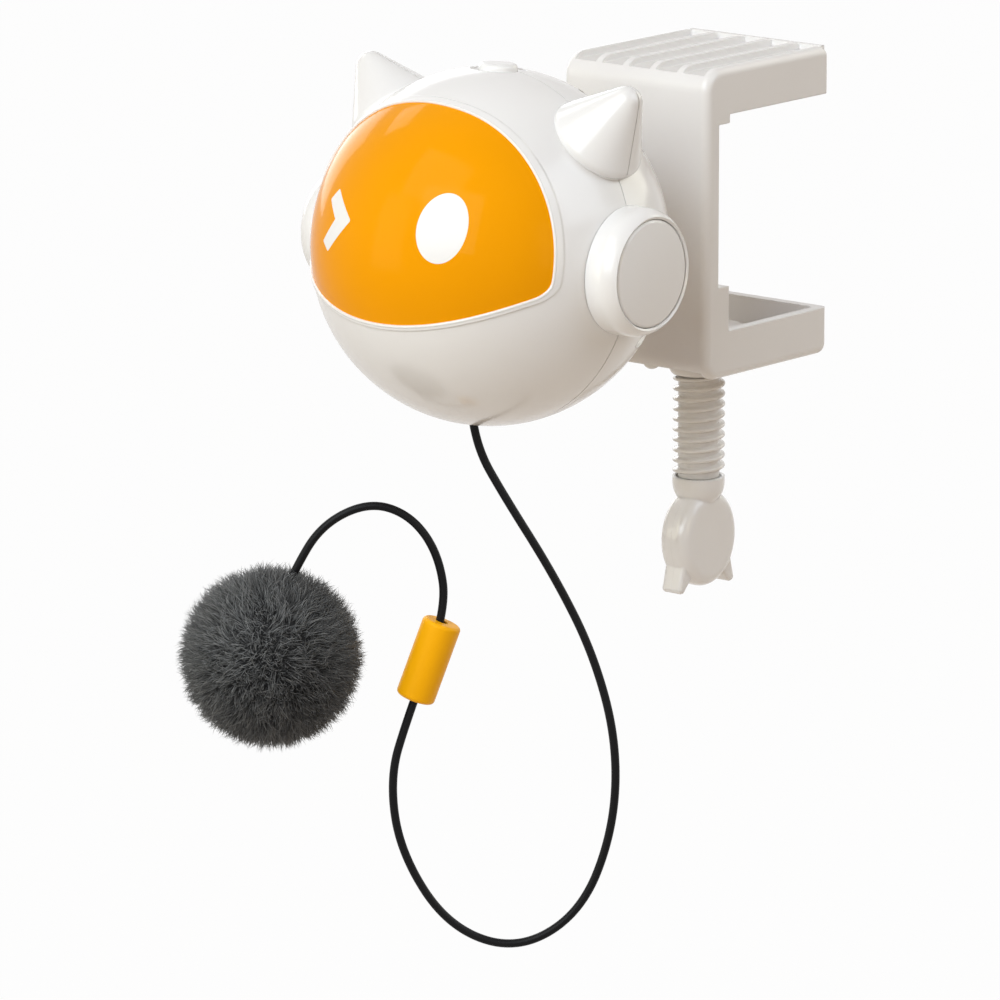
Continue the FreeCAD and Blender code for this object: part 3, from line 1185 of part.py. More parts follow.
def cord_wire(points):
    """Straight runs joined by tangent arcs, each as large as its two runs allow."""
    share = 0.45
    ends, least = [], None
    for i in range(1, len(points) - 1):
        a, b = points[i - 1] - points[i], points[i + 1] - points[i]
        back = share * min(a.Length, b.Length)
        half = a.getAngle(b) / 2
        radius = back * math.tan(half)
        print("cord arc %d radius %.1f mm" % (i, radius))
        least = radius if least is None else min(least, radius)
        a.normalize()
        b.normalize()
        bisector = (a + b).normalize()
        middle = points[i] + bisector * (radius / math.sin(half) - radius)
        ends.append((points[i] + a * back, middle, points[i] + b * back))
    edges = [Part.LineSegment(points[0], ends[0][0]).toShape()]
    for i, (start, middle, end) in enumerate(ends):
        edges.append(Part.Arc(start, middle, end).toShape())
        following = ends[i + 1][0] if i + 1 < len(ends) else points[-1]
        edges.append(Part.LineSegment(end, following).toShape())
    print("least cord radius %.1f mm" % least)
    return Part.Wire(edges)


def cord_pieces():
    points = [cord_point(*p) for p in CORD_ROUTE]
    path = cord_wire(points)
    start = points[0]
    ring = Part.Wire(Part.Circle(start, points[1] - start, size("cord_radius")).toShape())
    tube = path.makePipeShell([ring], True, True)
    expected = math.pi * size("cord_radius") ** 2 * path.Length
    print("cord length %.1f mm, volume %.1f of %.1f" % (path.Length, tube.Volume, expected))
    assert abs(tube.Volume / expected - 1) < 0.02
    piece("toy_cord", feature("cord_tube", tube))
    a, b = points[BEAD_RUN], points[BEAD_RUN + 1]
    middle, way = a + (b - a) * BEAD_SHARE, (b - a).normalize()
    turn = Rotation(Vector(0, 0, 1), way)
    low = middle - way * (size("bead_length") / 2)
    barrel = primitive("Cylinder", "bead_barrel", Placement(low, turn), Radius="bead_radius", Height="bead_length")
    doc.recompute()
    soft = doc.addObject("Part::Fillet", "bead_rounded")
    soft.Base = barrel
    rims = [i + 1 for i, e in enumerate(barrel.Shape.Edges) if len(e.Vertexes) == 1 and e.Closed]
    soft.Edges = [(i, 0.9, 0.9) for i in rims]
    bore = primitive("Cylinder", "bead_hole", Placement(low - way * 5, turn), Radius="bead_bore",
                     Height="bead_length + 10")
    piece("cord_bead", cut("bead_shape", soft, bore))
    pom = primitive("Sphere", "pom_ball", Placement(cord_point(*POM_PLACE), Rotation()), Radius="pom_radius")
    piece("pom_pom", pom)
    print("bead middle", tuple(round(v, 3) for v in middle), "axis", tuple(round(v, 5) for v in way))
    print("cord exit", tuple(round(v, 3) for v in start))


def build():
    wall = head_hull()
    piece("front_shell", front_shell(wall), True)
    piece("rear_shell", rear_shell(wall), True)
    visor_pieces()
    headphone("right", 1)
    headphone("left", -1)
    button_pieces()
    drive_pieces()
    battery_pieces()
    shell_screws()
    guide_piece()
    low = clamp_pieces()
    screw_pieces(low)
    cord_pieces()
    doc.recompute()


def check_and_write():
    bad = [o.Label for o in doc.Objects if "Invalid" in o.State or "Error" in o.State]
    assert not bad, "failed objects: %s" % bad
    os.makedirs("parts", exist_ok=True)
    for name, obj in PIECES.items():
        shape = obj.Shape
        assert not shape.isNull() and shape.isValid(), "bad shape: " + name
        print("%-22s solids %d volume %10.1f" % (name, len(shape.Solids), shape.Volume))
        shape.exportStep("parts/%s.step" % name)


build()
check_and_write()
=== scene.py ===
import json
import math

import bmesh
import bpy
import numpy as np
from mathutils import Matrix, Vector


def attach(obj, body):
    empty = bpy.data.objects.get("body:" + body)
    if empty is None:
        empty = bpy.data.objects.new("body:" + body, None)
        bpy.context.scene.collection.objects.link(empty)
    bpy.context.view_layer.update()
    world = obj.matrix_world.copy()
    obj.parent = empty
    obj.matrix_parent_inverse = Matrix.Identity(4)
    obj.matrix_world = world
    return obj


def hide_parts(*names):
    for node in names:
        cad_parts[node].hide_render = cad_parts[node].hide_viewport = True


# Looks of the hanging ball cat toy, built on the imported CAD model. Metres, in the CAD frame.

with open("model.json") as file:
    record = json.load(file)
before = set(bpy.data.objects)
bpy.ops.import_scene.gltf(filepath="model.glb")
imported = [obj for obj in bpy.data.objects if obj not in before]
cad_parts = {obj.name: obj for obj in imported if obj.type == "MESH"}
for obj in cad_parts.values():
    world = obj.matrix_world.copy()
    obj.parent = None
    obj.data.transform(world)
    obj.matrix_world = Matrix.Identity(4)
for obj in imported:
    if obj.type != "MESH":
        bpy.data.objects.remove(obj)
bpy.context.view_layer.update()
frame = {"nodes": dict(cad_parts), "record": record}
scene = bpy.context.scene
nodes = frame["nodes"]

# The camera of the photograph: 39.6 degrees to the object's left, 12.7 degrees above it
EYE = Vector((1.11403, -1.41868, 0.31018))
LOOK = Vector((-0.62189, 0.75181, -0.21915))

# Its lens and sensor in millimetres
LENS = 288.0
SENSOR = 36.0

# The ball of the head, as in the CAD model
HEAD_CENTRE = Vector((0.0, -0.0754, -0.0240))
HEAD_RADIUS = 0.040
HEAD_LEAN = math.radians(3.3)
VISOR_RECESS = 0.0001
EYE_RISE = 0.00003
RIM_RISE = 0.0003

# The bead that frames the visor, and how deep its middle lies under the rim's top
BEAD_RADIUS = 0.0004
BEAD_SINK = 0.0003

# The ears: a rounded tip and a rounded root with a straight flank between them
EAR_BACK = 0.0005
EAR_TILT = math.radians(40.0)
EAR_TIP_TURN = math.radians(45.0)
EAR_TIP_REACH = 0.055
EAR_LENGTH = 0.0172
EAR_TIP = (0.0, 0.0137, 0.0035)
EAR_ROOT = (0.0088, 0.0016, 0.0022)

# The crowned caps of the headphones
CAP_CROWN = 0.0465
CAP_BALL = 0.058578
CAP_BACK = 0.001
CAP_DROP = 0.0008

# Skins: how near a point is to the form that it lies on
ON_BALL = 0.00002
ON_SKIN = 0.00003
ON_EAR = 0.00004
NEAR_ROUNDING = 0.0003
EAR_FOOT = -0.002

# The cosine to an exact normal from which a face takes it, the longest edges, and where faces crease
SAME_WAY = 0.85
LONGEST_EDGE = 0.0016
CREASE = math.radians(28)

# The cord's route in its upright plane, across and up from the exit, as in the CAD model
EXIT = Vector((0.0, -0.081478, -0.062017))
CORD_PLANE = math.radians(39.6)
CORD_RADIUS = 0.00095
CORD_ROUTE = (
    (0.0, 0.0), (0.0009, -0.0067), (0.0067, -0.0173), (0.0182, -0.0360), (0.0271, -0.0542),
    (0.0324, -0.0747), (0.0316, -0.0951), (0.0244, -0.1142), (0.0098, -0.1231), (-0.0058, -0.1173),
    (-0.0164, -0.1000), (-0.0187, -0.0827), (-0.0147, -0.0689), (-0.0058, -0.0440), (-0.0076, -0.0311),
    (-0.0138, -0.0222), (-0.0231, -0.0191), (-0.0338, -0.0244), (-0.0400, -0.0351), (-0.0431, -0.0422),
)

# The pom-pom's centre in the same plane, its core, near black as painted shade deep in the fur, and the
# strands that root just inside it
POM_PLACE = (-0.0452, -0.0546)
POM_CORE = 0.0176
POM_ROOT = 0.0163
POM_STRANDS = 21000
POM_TUFTS = 1500
STRAND_LENGTH = 0.0042
STRAND_SPREAD = 0.0007
STRAND_SWAY = 0.22
TUFT_SWAY = 0.26

# The studio: all lamps are equally far from their target, and the floor lies well under the object
LAMP_TARGET = Vector((0, -0.05, -0.05))
LAMP_AWAY = 1.3
FLOOR_DOWN = 0.7
FLOOR_REACH = 8.0

# How much of the floor is plain white to the camera, and in gloss or through glass
FLOOR_SEEN = 0.98
FLOOR_IN_GLOSS = 0.9


def cord_point(across, up):
    return EXIT + Vector((across * math.cos(CORD_PLANE), across * math.sin(CORD_PLANE), up))


def link(obj):
    scene.collection.objects.link(obj)
    return obj


# Camera
def make_camera():
    data = bpy.data.cameras.new("camera")
    cam = link(bpy.data.objects.new("camera", data))
    data.sensor_width = SENSOR
    data.lens = LENS
    data.clip_start, data.clip_end = 0.05, 30.0
    cam.location = EYE
    cam.rotation_mode = "QUATERNION"
    cam.rotation_quaternion = LOOK.to_track_quat("-Z", "Y")
    scene.camera = cam


# Materials
def new_material(name):
    mat = bpy.data.materials.new(name)
    mat.use_nodes = True
    tree = mat.node_tree
    return mat, tree, tree.nodes["Principled BSDF"]


def noise_node(tree, scale, detail=3.0, rough=0.5, stretch=None):
    coords = tree.nodes.new("ShaderNodeTexCoord")
    tex = tree.nodes.new("ShaderNodeTexNoise")
    tex.inputs["Scale"].default_value = scale
    tex.inputs["Detail"].default_value = detail
    tex.inputs["Roughness"].default_value = rough
    source = coords.outputs["Object"]
    if stretch:
        mapping = tree.nodes.new("ShaderNodeMapping")
        mapping.inputs["Scale"].default_value = stretch
        tree.links.new(source, mapping.inputs["Vector"])
        source = mapping.outputs["Vector"]
    tree.links.new(source, tex.inputs["Vector"])
    return tex


def ranged(tree, source, low, high):
    node = tree.nodes.new("ShaderNodeMapRange")
    node.interpolation_type = "SMOOTHERSTEP"
    node.inputs["From Min"].default_value = 0.2
    node.inputs["From Max"].default_value = 0.8
    node.inputs["To Min"].default_value = low
    node.inputs["To Max"].default_value = high
    tree.links.new(source, node.inputs["Value"])
    return node.outputs["Result"]


def mixed(tree, fac, dark, light):
    node = tree.nodes.new("ShaderNodeMix")
    node.data_type = "RGBA"
    node.inputs["A"].default_value = (*dark, 1)
    node.inputs["B"].default_value = (*light, 1)
    tree.links.new(fac, node.inputs["Factor"])
    return node.outputs["Result"]


def soft_edges(tree, radius):
    """Round the shading of a moulded edge."""
    node = tree.nodes.new("ShaderNodeBevel")
    node.samples = 6
    node.inputs["Radius"].default_value = radius
    return node.outputs["Normal"]


def bump(tree, shader, parts, normal=None):
    """Chain several heights, each (source, strength, distance in metres)."""
    for source, strength, distance in parts:
        node = tree.nodes.new("ShaderNodeBump")
        node.inputs["Strength"].default_value = strength
        node.inputs["Distance"].default_value = distance
        tree.links.new(source, node.inputs["Height"])
        if normal is not None:
            tree.links.new(normal, node.inputs["Normal"])
        normal = node.outputs["Normal"]
    tree.links.new(normal, shader.inputs["Normal"])


def parting_line(tree, half_width=0.00012):
    """A fine mould line where x is 0."""
    coords = tree.nodes.new("ShaderNodeTexCoord")
    split = tree.nodes.new("ShaderNodeSeparateXYZ")
    away = tree.nodes.new("ShaderNodeMath")
    away.operation = "ABSOLUTE"
    node = tree.nodes.new("ShaderNodeMapRange")
    node.interpolation_type = "SMOOTHSTEP"
    node.inputs["From Max"].default_value = half_width
    tree.links.new(coords.outputs["Object"], split.inputs[0])
    tree.links.new(split.outputs["X"], away.inputs[0])
    tree.links.new(away.outputs[0], node.inputs["Value"])
    return node.outputs["Result"]


def plastic(name, color, rough=0.3, spread=0.04, tone=0.03, grain=2600.0, grain_height=0.000012,
            ripple=0.000012, coat=0.0, coat_rough=0.1, ior=1.48, specular=0.5, tint=(1, 1, 1), edge=0.0,
            line=False):
    """Moulded plastic: slight flow tones, uneven gloss, a fine grain and a shallow ripple."""
    mat, tree, shader = new_material(name)
    flow = noise_node(tree, 42.0, 1.0, 0.5)
    fine = noise_node(tree, grain, 2.0, 0.6)
    wave = noise_node(tree, 90.0, 0.0, 0.4)
    dark = tuple(c * (1 - tone) for c in color)
    tone_share = ranged(tree, flow.outputs["Fac"], 0.0, 1.0)
    gloss = ranged(tree, wave.outputs["Fac"], rough - spread, rough + spread)
    tree.links.new(mixed(tree, tone_share, dark, color), shader.inputs["Base Color"])
    tree.links.new(gloss, shader.inputs["Roughness"])
    heights = [(wave.outputs["Fac"], 0.25, ripple), (fine.outputs["Fac"], 0.5, grain_height)]
    if line:
        heights.append((parting_line(tree), 0.6, 0.00008))
    bump(tree, shader, heights, soft_edges(tree, edge) if edge else None)
    shader.inputs["IOR"].default_value = ior
    shader.inputs["Specular IOR Level"].default_value = specular
    shader.inputs["Specular Tint"].default_value = (*tint, 1)
    shader.inputs["Coat Weight"].default_value = coat
    shader.inputs["Coat Roughness"].default_value = coat_rough
    return mat


def metal(name, color, rough=0.3, brush=(1, 1, 1), scale=900.0):
    """Metal with fine brushing along the stretched axis."""
    mat, tree, shader = new_material(name)
    lines = noise_node(tree, scale, 4.0, 0.6, brush)
    blot = noise_node(tree, 160.0, 3.0)
    dark = tuple(c * 0.86 for c in color)
    tone_share = ranged(tree, blot.outputs["Fac"], 0.0, 1.0)
    gloss = ranged(tree, lines.outputs["Fac"], rough - 0.08, rough + 0.1)
    tree.links.new(mixed(tree, tone_share, dark, color), shader.inputs["Base Color"])
    tree.links.new(gloss, shader.inputs["Roughness"])
    bump(tree, shader, [(lines.outputs["Fac"], 0.4, 0.00002)])
    shader.inputs["Metallic"].default_value = 1.0
    return mat


WHITE = (0.862, 0.859, 0.853)
CLAMP_WHITE = (0.85, 0.84, 0.83)

MATERIALS = {
    "shell": plastic("shell_white", WHITE, rough=0.2, spread=0.02, tone=0.012, coat=0.2,
                     coat_rough=0.12, edge=0.0003),
    "clamp": plastic("clamp_white", CLAMP_WHITE, rough=0.25, spread=0.015, tone=0.015, grain=3200.0,
                     grain_height=0.00001, edge=0.0004),
    # The thread is darker than the knob's white: painted shade in its grooves
    "thread": plastic("thread_white_painted_shade", (0.79, 0.775, 0.76), rough=0.22, spread=0.02, tone=0.015, coat=0.3),
    "knob": plastic("knob_white", (0.87, 0.862, 0.853), rough=0.2, spread=0.02, tone=0.012, coat=0.4,
                    coat_rough=0.06, edge=0.0011, line=True),
    "amber": plastic("visor_amber", (0.93, 0.36, 0.001), rough=0.1, spread=0.02, tone=0.04,
                     specular=0.07, tint=(1.0, 0.86, 0.55), grain_height=0.000002, ripple=0.000004),
    "bead": plastic("bead_amber", (0.99, 0.46, 0.004), rough=0.42, tone=0.04, grain=3600.0, specular=0.3,
                    tint=(1.0, 0.8, 0.35), grain_height=0.00001, edge=0.0004),
    "eye": plastic("eye_white", (0.9, 0.9, 0.897), rough=0.24, spread=0.02, tone=0.01, specular=0.3),
    "cord": plastic("cord_black", (0.008, 0.008, 0.009), rough=0.4, spread=0.04, tone=0.3, grain=4200.0,
                    grain_height=0.00001, specular=0.12),
    "dark": plastic("dark_plastic", (0.02, 0.02, 0.022), rough=0.45, tone=0.3, edge=0.0002),
    "natural": plastic("natural_plastic", (0.74, 0.72, 0.66), rough=0.45, tone=0.05, edge=0.0003),
    "gear": plastic("gear_plastic", (0.84, 0.83, 0.78), rough=0.4, tone=0.03, edge=0.0001),
    "board": plastic("board_green", (0.015, 0.13, 0.05), rough=0.4, tone=0.25, grain=1800.0,
                     edge=0.0001),
    "cell": plastic("cell_sleeve", (0.03, 0.14, 0.06), rough=0.3, tone=0.2, coat=0.4, edge=0.0003),
    "steel": metal("screw_steel", (0.62, 0.62, 0.63), 0.32),
    "can": metal("motor_can", (0.58, 0.59, 0.61), 0.3, (0.06, 1, 1)),
    "brass": metal("contact_metal", (0.78, 0.68, 0.42), 0.3),
}

NODE_MATERIALS = {
    "shell": ("front_shell", "rear_shell", "headphone_ring_left", "headphone_ring_right",
              "headphone_cap_left", "headphone_cap_right", "power_button", "battery_door"),
    "clamp": ("clamp_frame", "neck", "pressure_pad"),
    "thread": ("clamp_screw",),
    "knob": ("screw_knob",),
    "amber": ("visor",),
    "bead": ("cord_bead",),
    "eye": ("left_eye", "right_eye"),
    "cord": ("cord_feed", "cord_winding", "toy_cord"),
    "dark": ("power_switch", "control_chip", "cord_guide"),
    "natural": ("drive_frame", "battery_tray"),
    "gear": ("spool", "idler_gear"),
    "board": ("circuit_board",),
    "cell": ("battery_cell_1", "battery_cell_2", "battery_cell_3"),
    "steel": ("board_screws", "frame_screws", "shell_screws", "clamp_side_screws",
              "head_side_screws", "spool_axle", "idler_axle", "motor_shaft"),
    "can": ("motor",),
    "brass": ("motor_pinion", "plus_contacts", "minus_springs"),
}


def dress_nodes():
    for key, names in NODE_MATERIALS.items():
        for name in names:
            obj = nodes[name]
            obj.data.materials.clear()
            obj.data.materials.append(MATERIALS[key])
            obj.data.polygons.foreach_set("use_smooth", [True] * len(obj.data.polygons))
            split = obj.modifiers.new("sharp_edges", "EDGE_SPLIT")
            split.split_angle = CREASE
    missing = set(nodes) - {n for names in NODE_MATERIALS.values() for n in names} - {"pom_pom"}
    assert not missing, missing


# The cord
def make_cord():
    data = bpy.data.curves.new("hanging_cord", "CURVE")
    data.dimensions = "3D"
    spline = data.splines.new("NURBS")
    spline.points.add(len(CORD_ROUTE) - 1)
    for point, place in zip(spline.points, CORD_ROUTE):
        point.co = (*cord_point(*place), 1.0)
    spline.order_u = 3
    spline.use_endpoint_u = True
    data.resolution_u = 16
    data.bevel_depth = CORD_RADIUS
    data.bevel_resolution = 6
    data.use_fill_caps = True
    obj = link(bpy.data.objects.new("hanging_cord", data))
    data.materials.append(MATERIALS["cord"])
    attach(obj, "housing")
    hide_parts("toy_cord")
    return obj


# The pom-pom: a soft core, near black as painted shade deep in the fur, and strands of fur, each a thin
# tapered tube
def fur_material():
    mat, tree, shader = new_material("pom_fur")
    # Each strand's own random tone, darkened towards its root as painted shade deep in the fur
    tone_and_painted_root_shade = tree.nodes.new("ShaderNodeAttribute")
    tone_and_painted_root_shade.attribute_name = "tone_and_painted_root_shade"
    ramp = tree.nodes.new("ShaderNodeValToRGB")
    ramp.color_ramp.elements[0].color = (0.008, 0.0082, 0.0086, 1)
    ramp.color_ramp.elements[1].color = (0.34, 0.346, 0.348, 1)
    tree.links.new(tone_and_painted_root_shade.outputs["Fac"], ramp.inputs["Fac"])
    tree.links.new(ramp.outputs["Color"], shader.inputs["Base Color"])
    shader.inputs["Roughness"].default_value = 0.55
    shader.inputs["Sheen Weight"].default_value = 0.15
    shader.inputs["Sheen Roughness"].default_value = 0.4
    return mat


def make_pom():
    rng = np.random.default_rng(11)
    centre = np.array(cord_point(*POM_PLACE))
    root, count = POM_ROOT, POM_STRANDS
    z = 1 - 2 * (np.arange(count) + 0.5) / count
    turn = np.pi * (1 + 5 ** 0.5) * np.arange(count)
    flat = np.sqrt(1 - z * z)
    out = np.stack([flat * np.cos(turn), flat * np.sin(turn), z], 1)
    out += rng.normal(0, 0.012, out.shape)
    out /= np.linalg.norm(out, axis=1)[:, None]

    # Tufts: neighbouring strands lean the same way
    seeds = rng.normal(size=(POM_TUFTS, 3))
    seeds /= np.linalg.norm(seeds, axis=1)[:, None]
    tuft = np.argmax(out @ seeds.T, axis=1)
    sway = rng.normal(size=(POM_TUFTS, 3)) * TUFT_SWAY
    lean = sway[tuft] + rng.normal(0, STRAND_SWAY, out.shape)
    lean -= (lean * out).sum(1)[:, None] * out
    length = STRAND_LENGTH + STRAND_SPREAD * rng.normal(size=count).clip(-1.6, 1.8)
    length *= 1 + 0.07 * np.sin(tuft * 2.3)
    width = 0.00008 + 0.00004 * rng.random(count)
    tone = (0.38 + 0.3 * rng.normal(size=count)).clip(0.05, 1.0)
    # Each ring of a strand: how far along, how far bent, how thick
    levels = ((0.0, 0.0, 1.0), (0.4, 0.12, 0.95), (0.75, 0.45, 0.65))
    side = np.cross(out, rng.normal(size=out.shape))
    side /= np.linalg.norm(side, axis=1)[:, None]
    other = np.cross(out, side)
    rows, tones_and_painted_root_shades = [], []
    for along, bend, thick in levels:
        spine = out * (root + along * length)[:, None] + lean * (bend * length)[:, None]
        for k in range(3):
            a = 2 * math.pi * k / 3
            rows.append(spine + (side * math.cos(a) + other * math.sin(a)) * (width * thick)[:, None])
            # Colour runs darker towards the root as painted shade deep in the fur, on top of each
            # strand's random tone
            tones_and_painted_root_shades.append(tone * (0.1 + 0.8 * along ** 1.5))
    rows.append(out * (root + 0.96 * length)[:, None] + lean * (0.85 * length)[:, None])
    tones_and_painted_root_shades.append(tone)
    verts = np.stack(rows, 1).reshape(-1, 3) + centre
    tone_and_painted_root_shade = np.stack(tones_and_painted_root_shades, 1).reshape(-1)
    base = np.arange(count)[:, None] * 10
    faces = []
    for ring in (0, 3):
        for k in range(3):
            n = (k + 1) % 3
            faces.append(base + np.array([ring + k, ring + n, ring + 3 + n, ring + 3 + k]))
    quads = np.stack(faces, 1).reshape(-1, 4)
    tips = np.stack([base + np.array([6 + k, 6 + (k + 1) % 3, 9]) for k in range(3)], 1).reshape(-1, 3)
    mesh = bpy.data.meshes.new("pom_fur")
    mesh.from_pydata(verts.tolist(), [], quads.tolist() + tips.tolist())
    layer = mesh.attributes.new("tone_and_painted_root_shade", "FLOAT", "POINT")
    layer.data.foreach_set("value", tone_and_painted_root_shade.astype(np.float32))
    mesh.materials.append(fur_material())
    mesh.polygons.foreach_set("use_smooth", [True] * len(mesh.polygons))

    # Each strand is lit mostly as the place on the ball where it grows
    own = np.empty(len(mesh.vertices) * 3)
    mesh.vertex_normals.foreach_get("vector", own)
    own = own.reshape(-1, 3) * 0.45 + np.repeat(out, 10, axis=0)
    own /= np.linalg.norm(own, axis=1)[:, None]
    mesh.normals_split_custom_set_from_vertices(own.tolist())
    fur = link(bpy.data.objects.new("pom_fur", mesh))

    # The core is a fine ball with an uneven surface and a fine grain, near black as painted shade between
    # the strands
    bm = bmesh.new()
    bmesh.ops.create_icosphere(bm, subdivisions=5, radius=POM_CORE)
    for v in bm.verts:
        wobble = math.sin(v.co.x * 900) * math.sin(v.co.y * 820 + 1) * math.sin(v.co.z * 870 + 2)
        v.co *= 1 + 0.02 * wobble
        v.co += Vector(centre)
    core_mesh = bpy.data.meshes.new("pom_core")
    bm.to_mesh(core_mesh)
    bm.free()
    core = link(bpy.data.objects.new("pom_core", core_mesh))
    # Near black: painted shade between the strands, not a colour of the fur itself
    core_shade = plastic("pom_core_painted_shade", (0.010, 0.010, 0.011), rough=0.9, tone=0.4, grain=2400.0,
                   grain_height=0.0002)
    core_mesh.materials.append(core_shade)
    for piece in (fur, core):
        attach(piece, "housing")
    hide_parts("pom_pom")
    return fur, core


# Light and background
LAMPS = (
    # Name, degrees round from the camera (more is to its right), degrees up, width, height, watts, colour
    ("key_light", -29.0, 26.0, 0.9, 0.9, 10.8, (0.86, 0.94, 1.0)),
    ("high_light", -50.0, 48.0, 0.8, 0.7, 4.8, (0.97, 1.0, 1.0)),
    ("left_light", -68.0, 12.0, 0.5, 0.9, 3.2, (1.0, 0.98, 0.74)),
    ("right_light", 68.0, 36.0, 0.8, 0.8, 5.0, (0.82, 0.92, 1.0)),
    ("window_light", 36.0, 10.0, 0.28, 0.6, 1.3, (1.0, 0.84, 0.45)),
    ("rim_light", 122.0, 25.0, 0.8, 0.8, 4.0, (1.0, 1.0, 0.86)),
    ("back_light", -158.0, 12.0, 0.9, 0.6, 3.2, (0.94, 0.98, 1.0)),
    ("crest_light", -137.0, 42.0, 0.34, 0.26, 1.0, (1.0, 1.0, 1.0)),
)


def lamp(name, around, above, width, height, power, color):
    toward = Vector((-LOOK.x, -LOOK.y, 0)).normalized()
    right = Vector((toward.y * -1, toward.x, 0))
    turn, rise = math.radians(around), math.radians(above)
    level = toward * math.cos(turn) + right * math.sin(turn)
    way = level * math.cos(rise) + Vector((0, 0, math.sin(rise)))
    data = bpy.data.lights.new(name, "AREA")
    data.shape = "RECTANGLE"
    data.size, data.size_y = width, height
    data.energy = power
    data.color = color
    obj = link(bpy.data.objects.new(name, data))
    obj.location = LAMP_TARGET + way * LAMP_AWAY
    obj.rotation_mode = "QUATERNION"
    obj.rotation_quaternion = (LAMP_TARGET - obj.location).to_track_quat("-Z", "Y")


def seen_share(tree, camera_share, other_share):
    """How much of a ray meets plain white: one share for the camera, the other for gloss and glass."""
    path = tree.nodes.new("ShaderNodeLightPath")
    parts = []
    for output, share in (("Is Camera Ray", camera_share), ("Is Glossy Ray", other_share),
                          ("Is Transmission Ray", other_share)):
        node = tree.nodes.new("ShaderNodeMath")
        node.operation = "MULTIPLY"
        node.inputs[1].default_value = share
        tree.links.new(path.outputs[output], node.inputs[0])
        parts.append(node.outputs[0])
    total = parts[0]
    for part in parts[1:]:
        node = tree.nodes.new("ShaderNodeMath")
        node.operation = "MAXIMUM"
        tree.links.new(total, node.inputs[0])
        tree.links.new(part, node.inputs[1])
        total = node.outputs[0]
    return total


def make_studio():
    world = bpy.data.worlds.new("studio")
    scene.world = world
    world.use_nodes = True
    tree = world.node_tree
    back = tree.nodes["Background"]
    back.inputs["Color"].default_value = (1.0, 0.35, 0.12, 1)
    back.inputs["Strength"].default_value = 0.1
    seen = tree.nodes.new("ShaderNodeBackground")
    seen.inputs["Color"].default_value = (1, 1, 1, 1)
    seen.inputs["Strength"].default_value = 1.0
    mix = tree.nodes.new("ShaderNodeMixShader")
    tree.links.new(seen_share(tree, 1.0, 1.0), mix.inputs["Fac"])
    tree.links.new(back.outputs[0], mix.inputs[1])
    tree.links.new(seen.outputs[0], mix.inputs[2])
    tree.links.new(mix.outputs[0], tree.nodes["World Output"].inputs["Surface"])

    for row in LAMPS:
        lamp(*row)

    mesh = bpy.data.meshes.new("floor")
    signs = ((-1, -1), (1, -1), (1, 1), (-1, 1))
    corners = [(x * FLOOR_REACH, y * FLOOR_REACH, -FLOOR_DOWN) for x, y in signs]
    mesh.from_pydata(corners, [], [(0, 1, 2, 3)])
    floor = link(bpy.data.objects.new("floor", mesh))
    mat, tree, shader = new_material("floor_pale")
    shader.inputs["Base Color"].default_value = (0.88, 0.80, 0.70, 1)
    shader.inputs["Roughness"].default_value = 0.9
    shader.inputs["Specular IOR Level"].default_value = 0.0
    glow = tree.nodes.new("ShaderNodeEmission")
    glow.inputs["Color"].default_value = (1, 1, 1, 1)
    mix = tree.nodes.new("ShaderNodeMixShader")
    tree.links.new(seen_share(tree, FLOOR_SEEN, FLOOR_IN_GLOSS), mix.inputs["Fac"])
    tree.links.new(shader.outputs[0], mix.inputs[1])
    tree.links.new(glow.outputs[0], mix.inputs[2])
    tree.links.new(mix.outputs[0], tree.nodes["Material Output"].inputs["Surface"])
    mesh.materials.append(mat)


# The skins of the head: the CAD forms, finer on their balls, with the exact normals of balls and ears
def refine(mesh, balls, longest):
    """Split long edges that lie on a ball and put the new points on it."""
    bm = bmesh.new()
    bm.from_mesh(mesh)
    for centre, radius in balls:
        for _ in range(6):
            near = {v for v in bm.verts if abs((v.co - centre).length - radius) < ON_BALL}
            edges = [e for e in bm.edges
                     if e.verts[0] in near and e.verts[1] in near and e.calc_length() > longest]
            if not edges:
                break
            made = bmesh.ops.subdivide_edges(bm, edges=edges, cuts=1)["geom_inner"]
            for v in made:
                if isinstance(v, bmesh.types.BMVert):
                    v.co = centre + (v.co - centre).normalized() * radius
    bmesh.ops.triangulate(bm, faces=bm.faces)
    bm.to_mesh(mesh)
    bm.free()


def rim_loops(bm):
    """The two closed edges of the raised rim, the one round the opening first."""
    top = {v for v in bm.verts if abs((v.co - HEAD_CENTRE).length - HEAD_RADIUS - RIM_RISE) < ON_BALL}
    band = {f for f in bm.faces if all(v in top for v in f.verts)}
    ways = {}
    for edge in bm.edges:
        if sum(f in band for f in edge.link_faces) == 1:
            first, second = edge.verts
            ways.setdefault(first, []).append(second)
            ways.setdefault(second, []).append(first)
    loops = []
    while ways:
        loop = [next(iter(ways))]
        while True:
            onward = [v for v in ways.pop(loop[-1], ()) if v in ways]
            if not onward:
                break
            loop.append(onward[0])
        loops.append(loop)
    return sorted(loops, key=lambda loop: sum((a.co - b.co).length for a, b in zip(loop, loop[1:])))


def rim_bead():
    """The rounded bead that frames the visor."""
    bm = bmesh.new()
    bm.from_mesh(nodes["front_shell"].data)
    loop = rim_loops(bm)[0]
    data = bpy.data.curves.new("opening_bead", "CURVE")
    data.dimensions = "3D"
    spline = data.splines.new("POLY")
    spline.points.add(len(loop) - 1)
    for point, v in zip(spline.points, loop):
        reach = HEAD_RADIUS + RIM_RISE - BEAD_SINK
        place = HEAD_CENTRE + (v.co - HEAD_CENTRE).normalized() * reach
        point.co = (*place, 1.0)
    bm.free()
    spline.use_cyclic_u = True
    data.bevel_depth = BEAD_RADIUS
    data.bevel_resolution = 4
    data.materials.append(MATERIALS["shell"])
    obj = link(bpy.data.objects.new("opening_bead", data))
    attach(obj, "housing")


def to_world(x, y, z):
    """A direction in the head's own axes, leant as the head is."""
    cos, sin = math.cos(HEAD_LEAN), math.sin(HEAD_LEAN)
    return np.array([x, y * cos + z * sin, z * cos - y * sin])


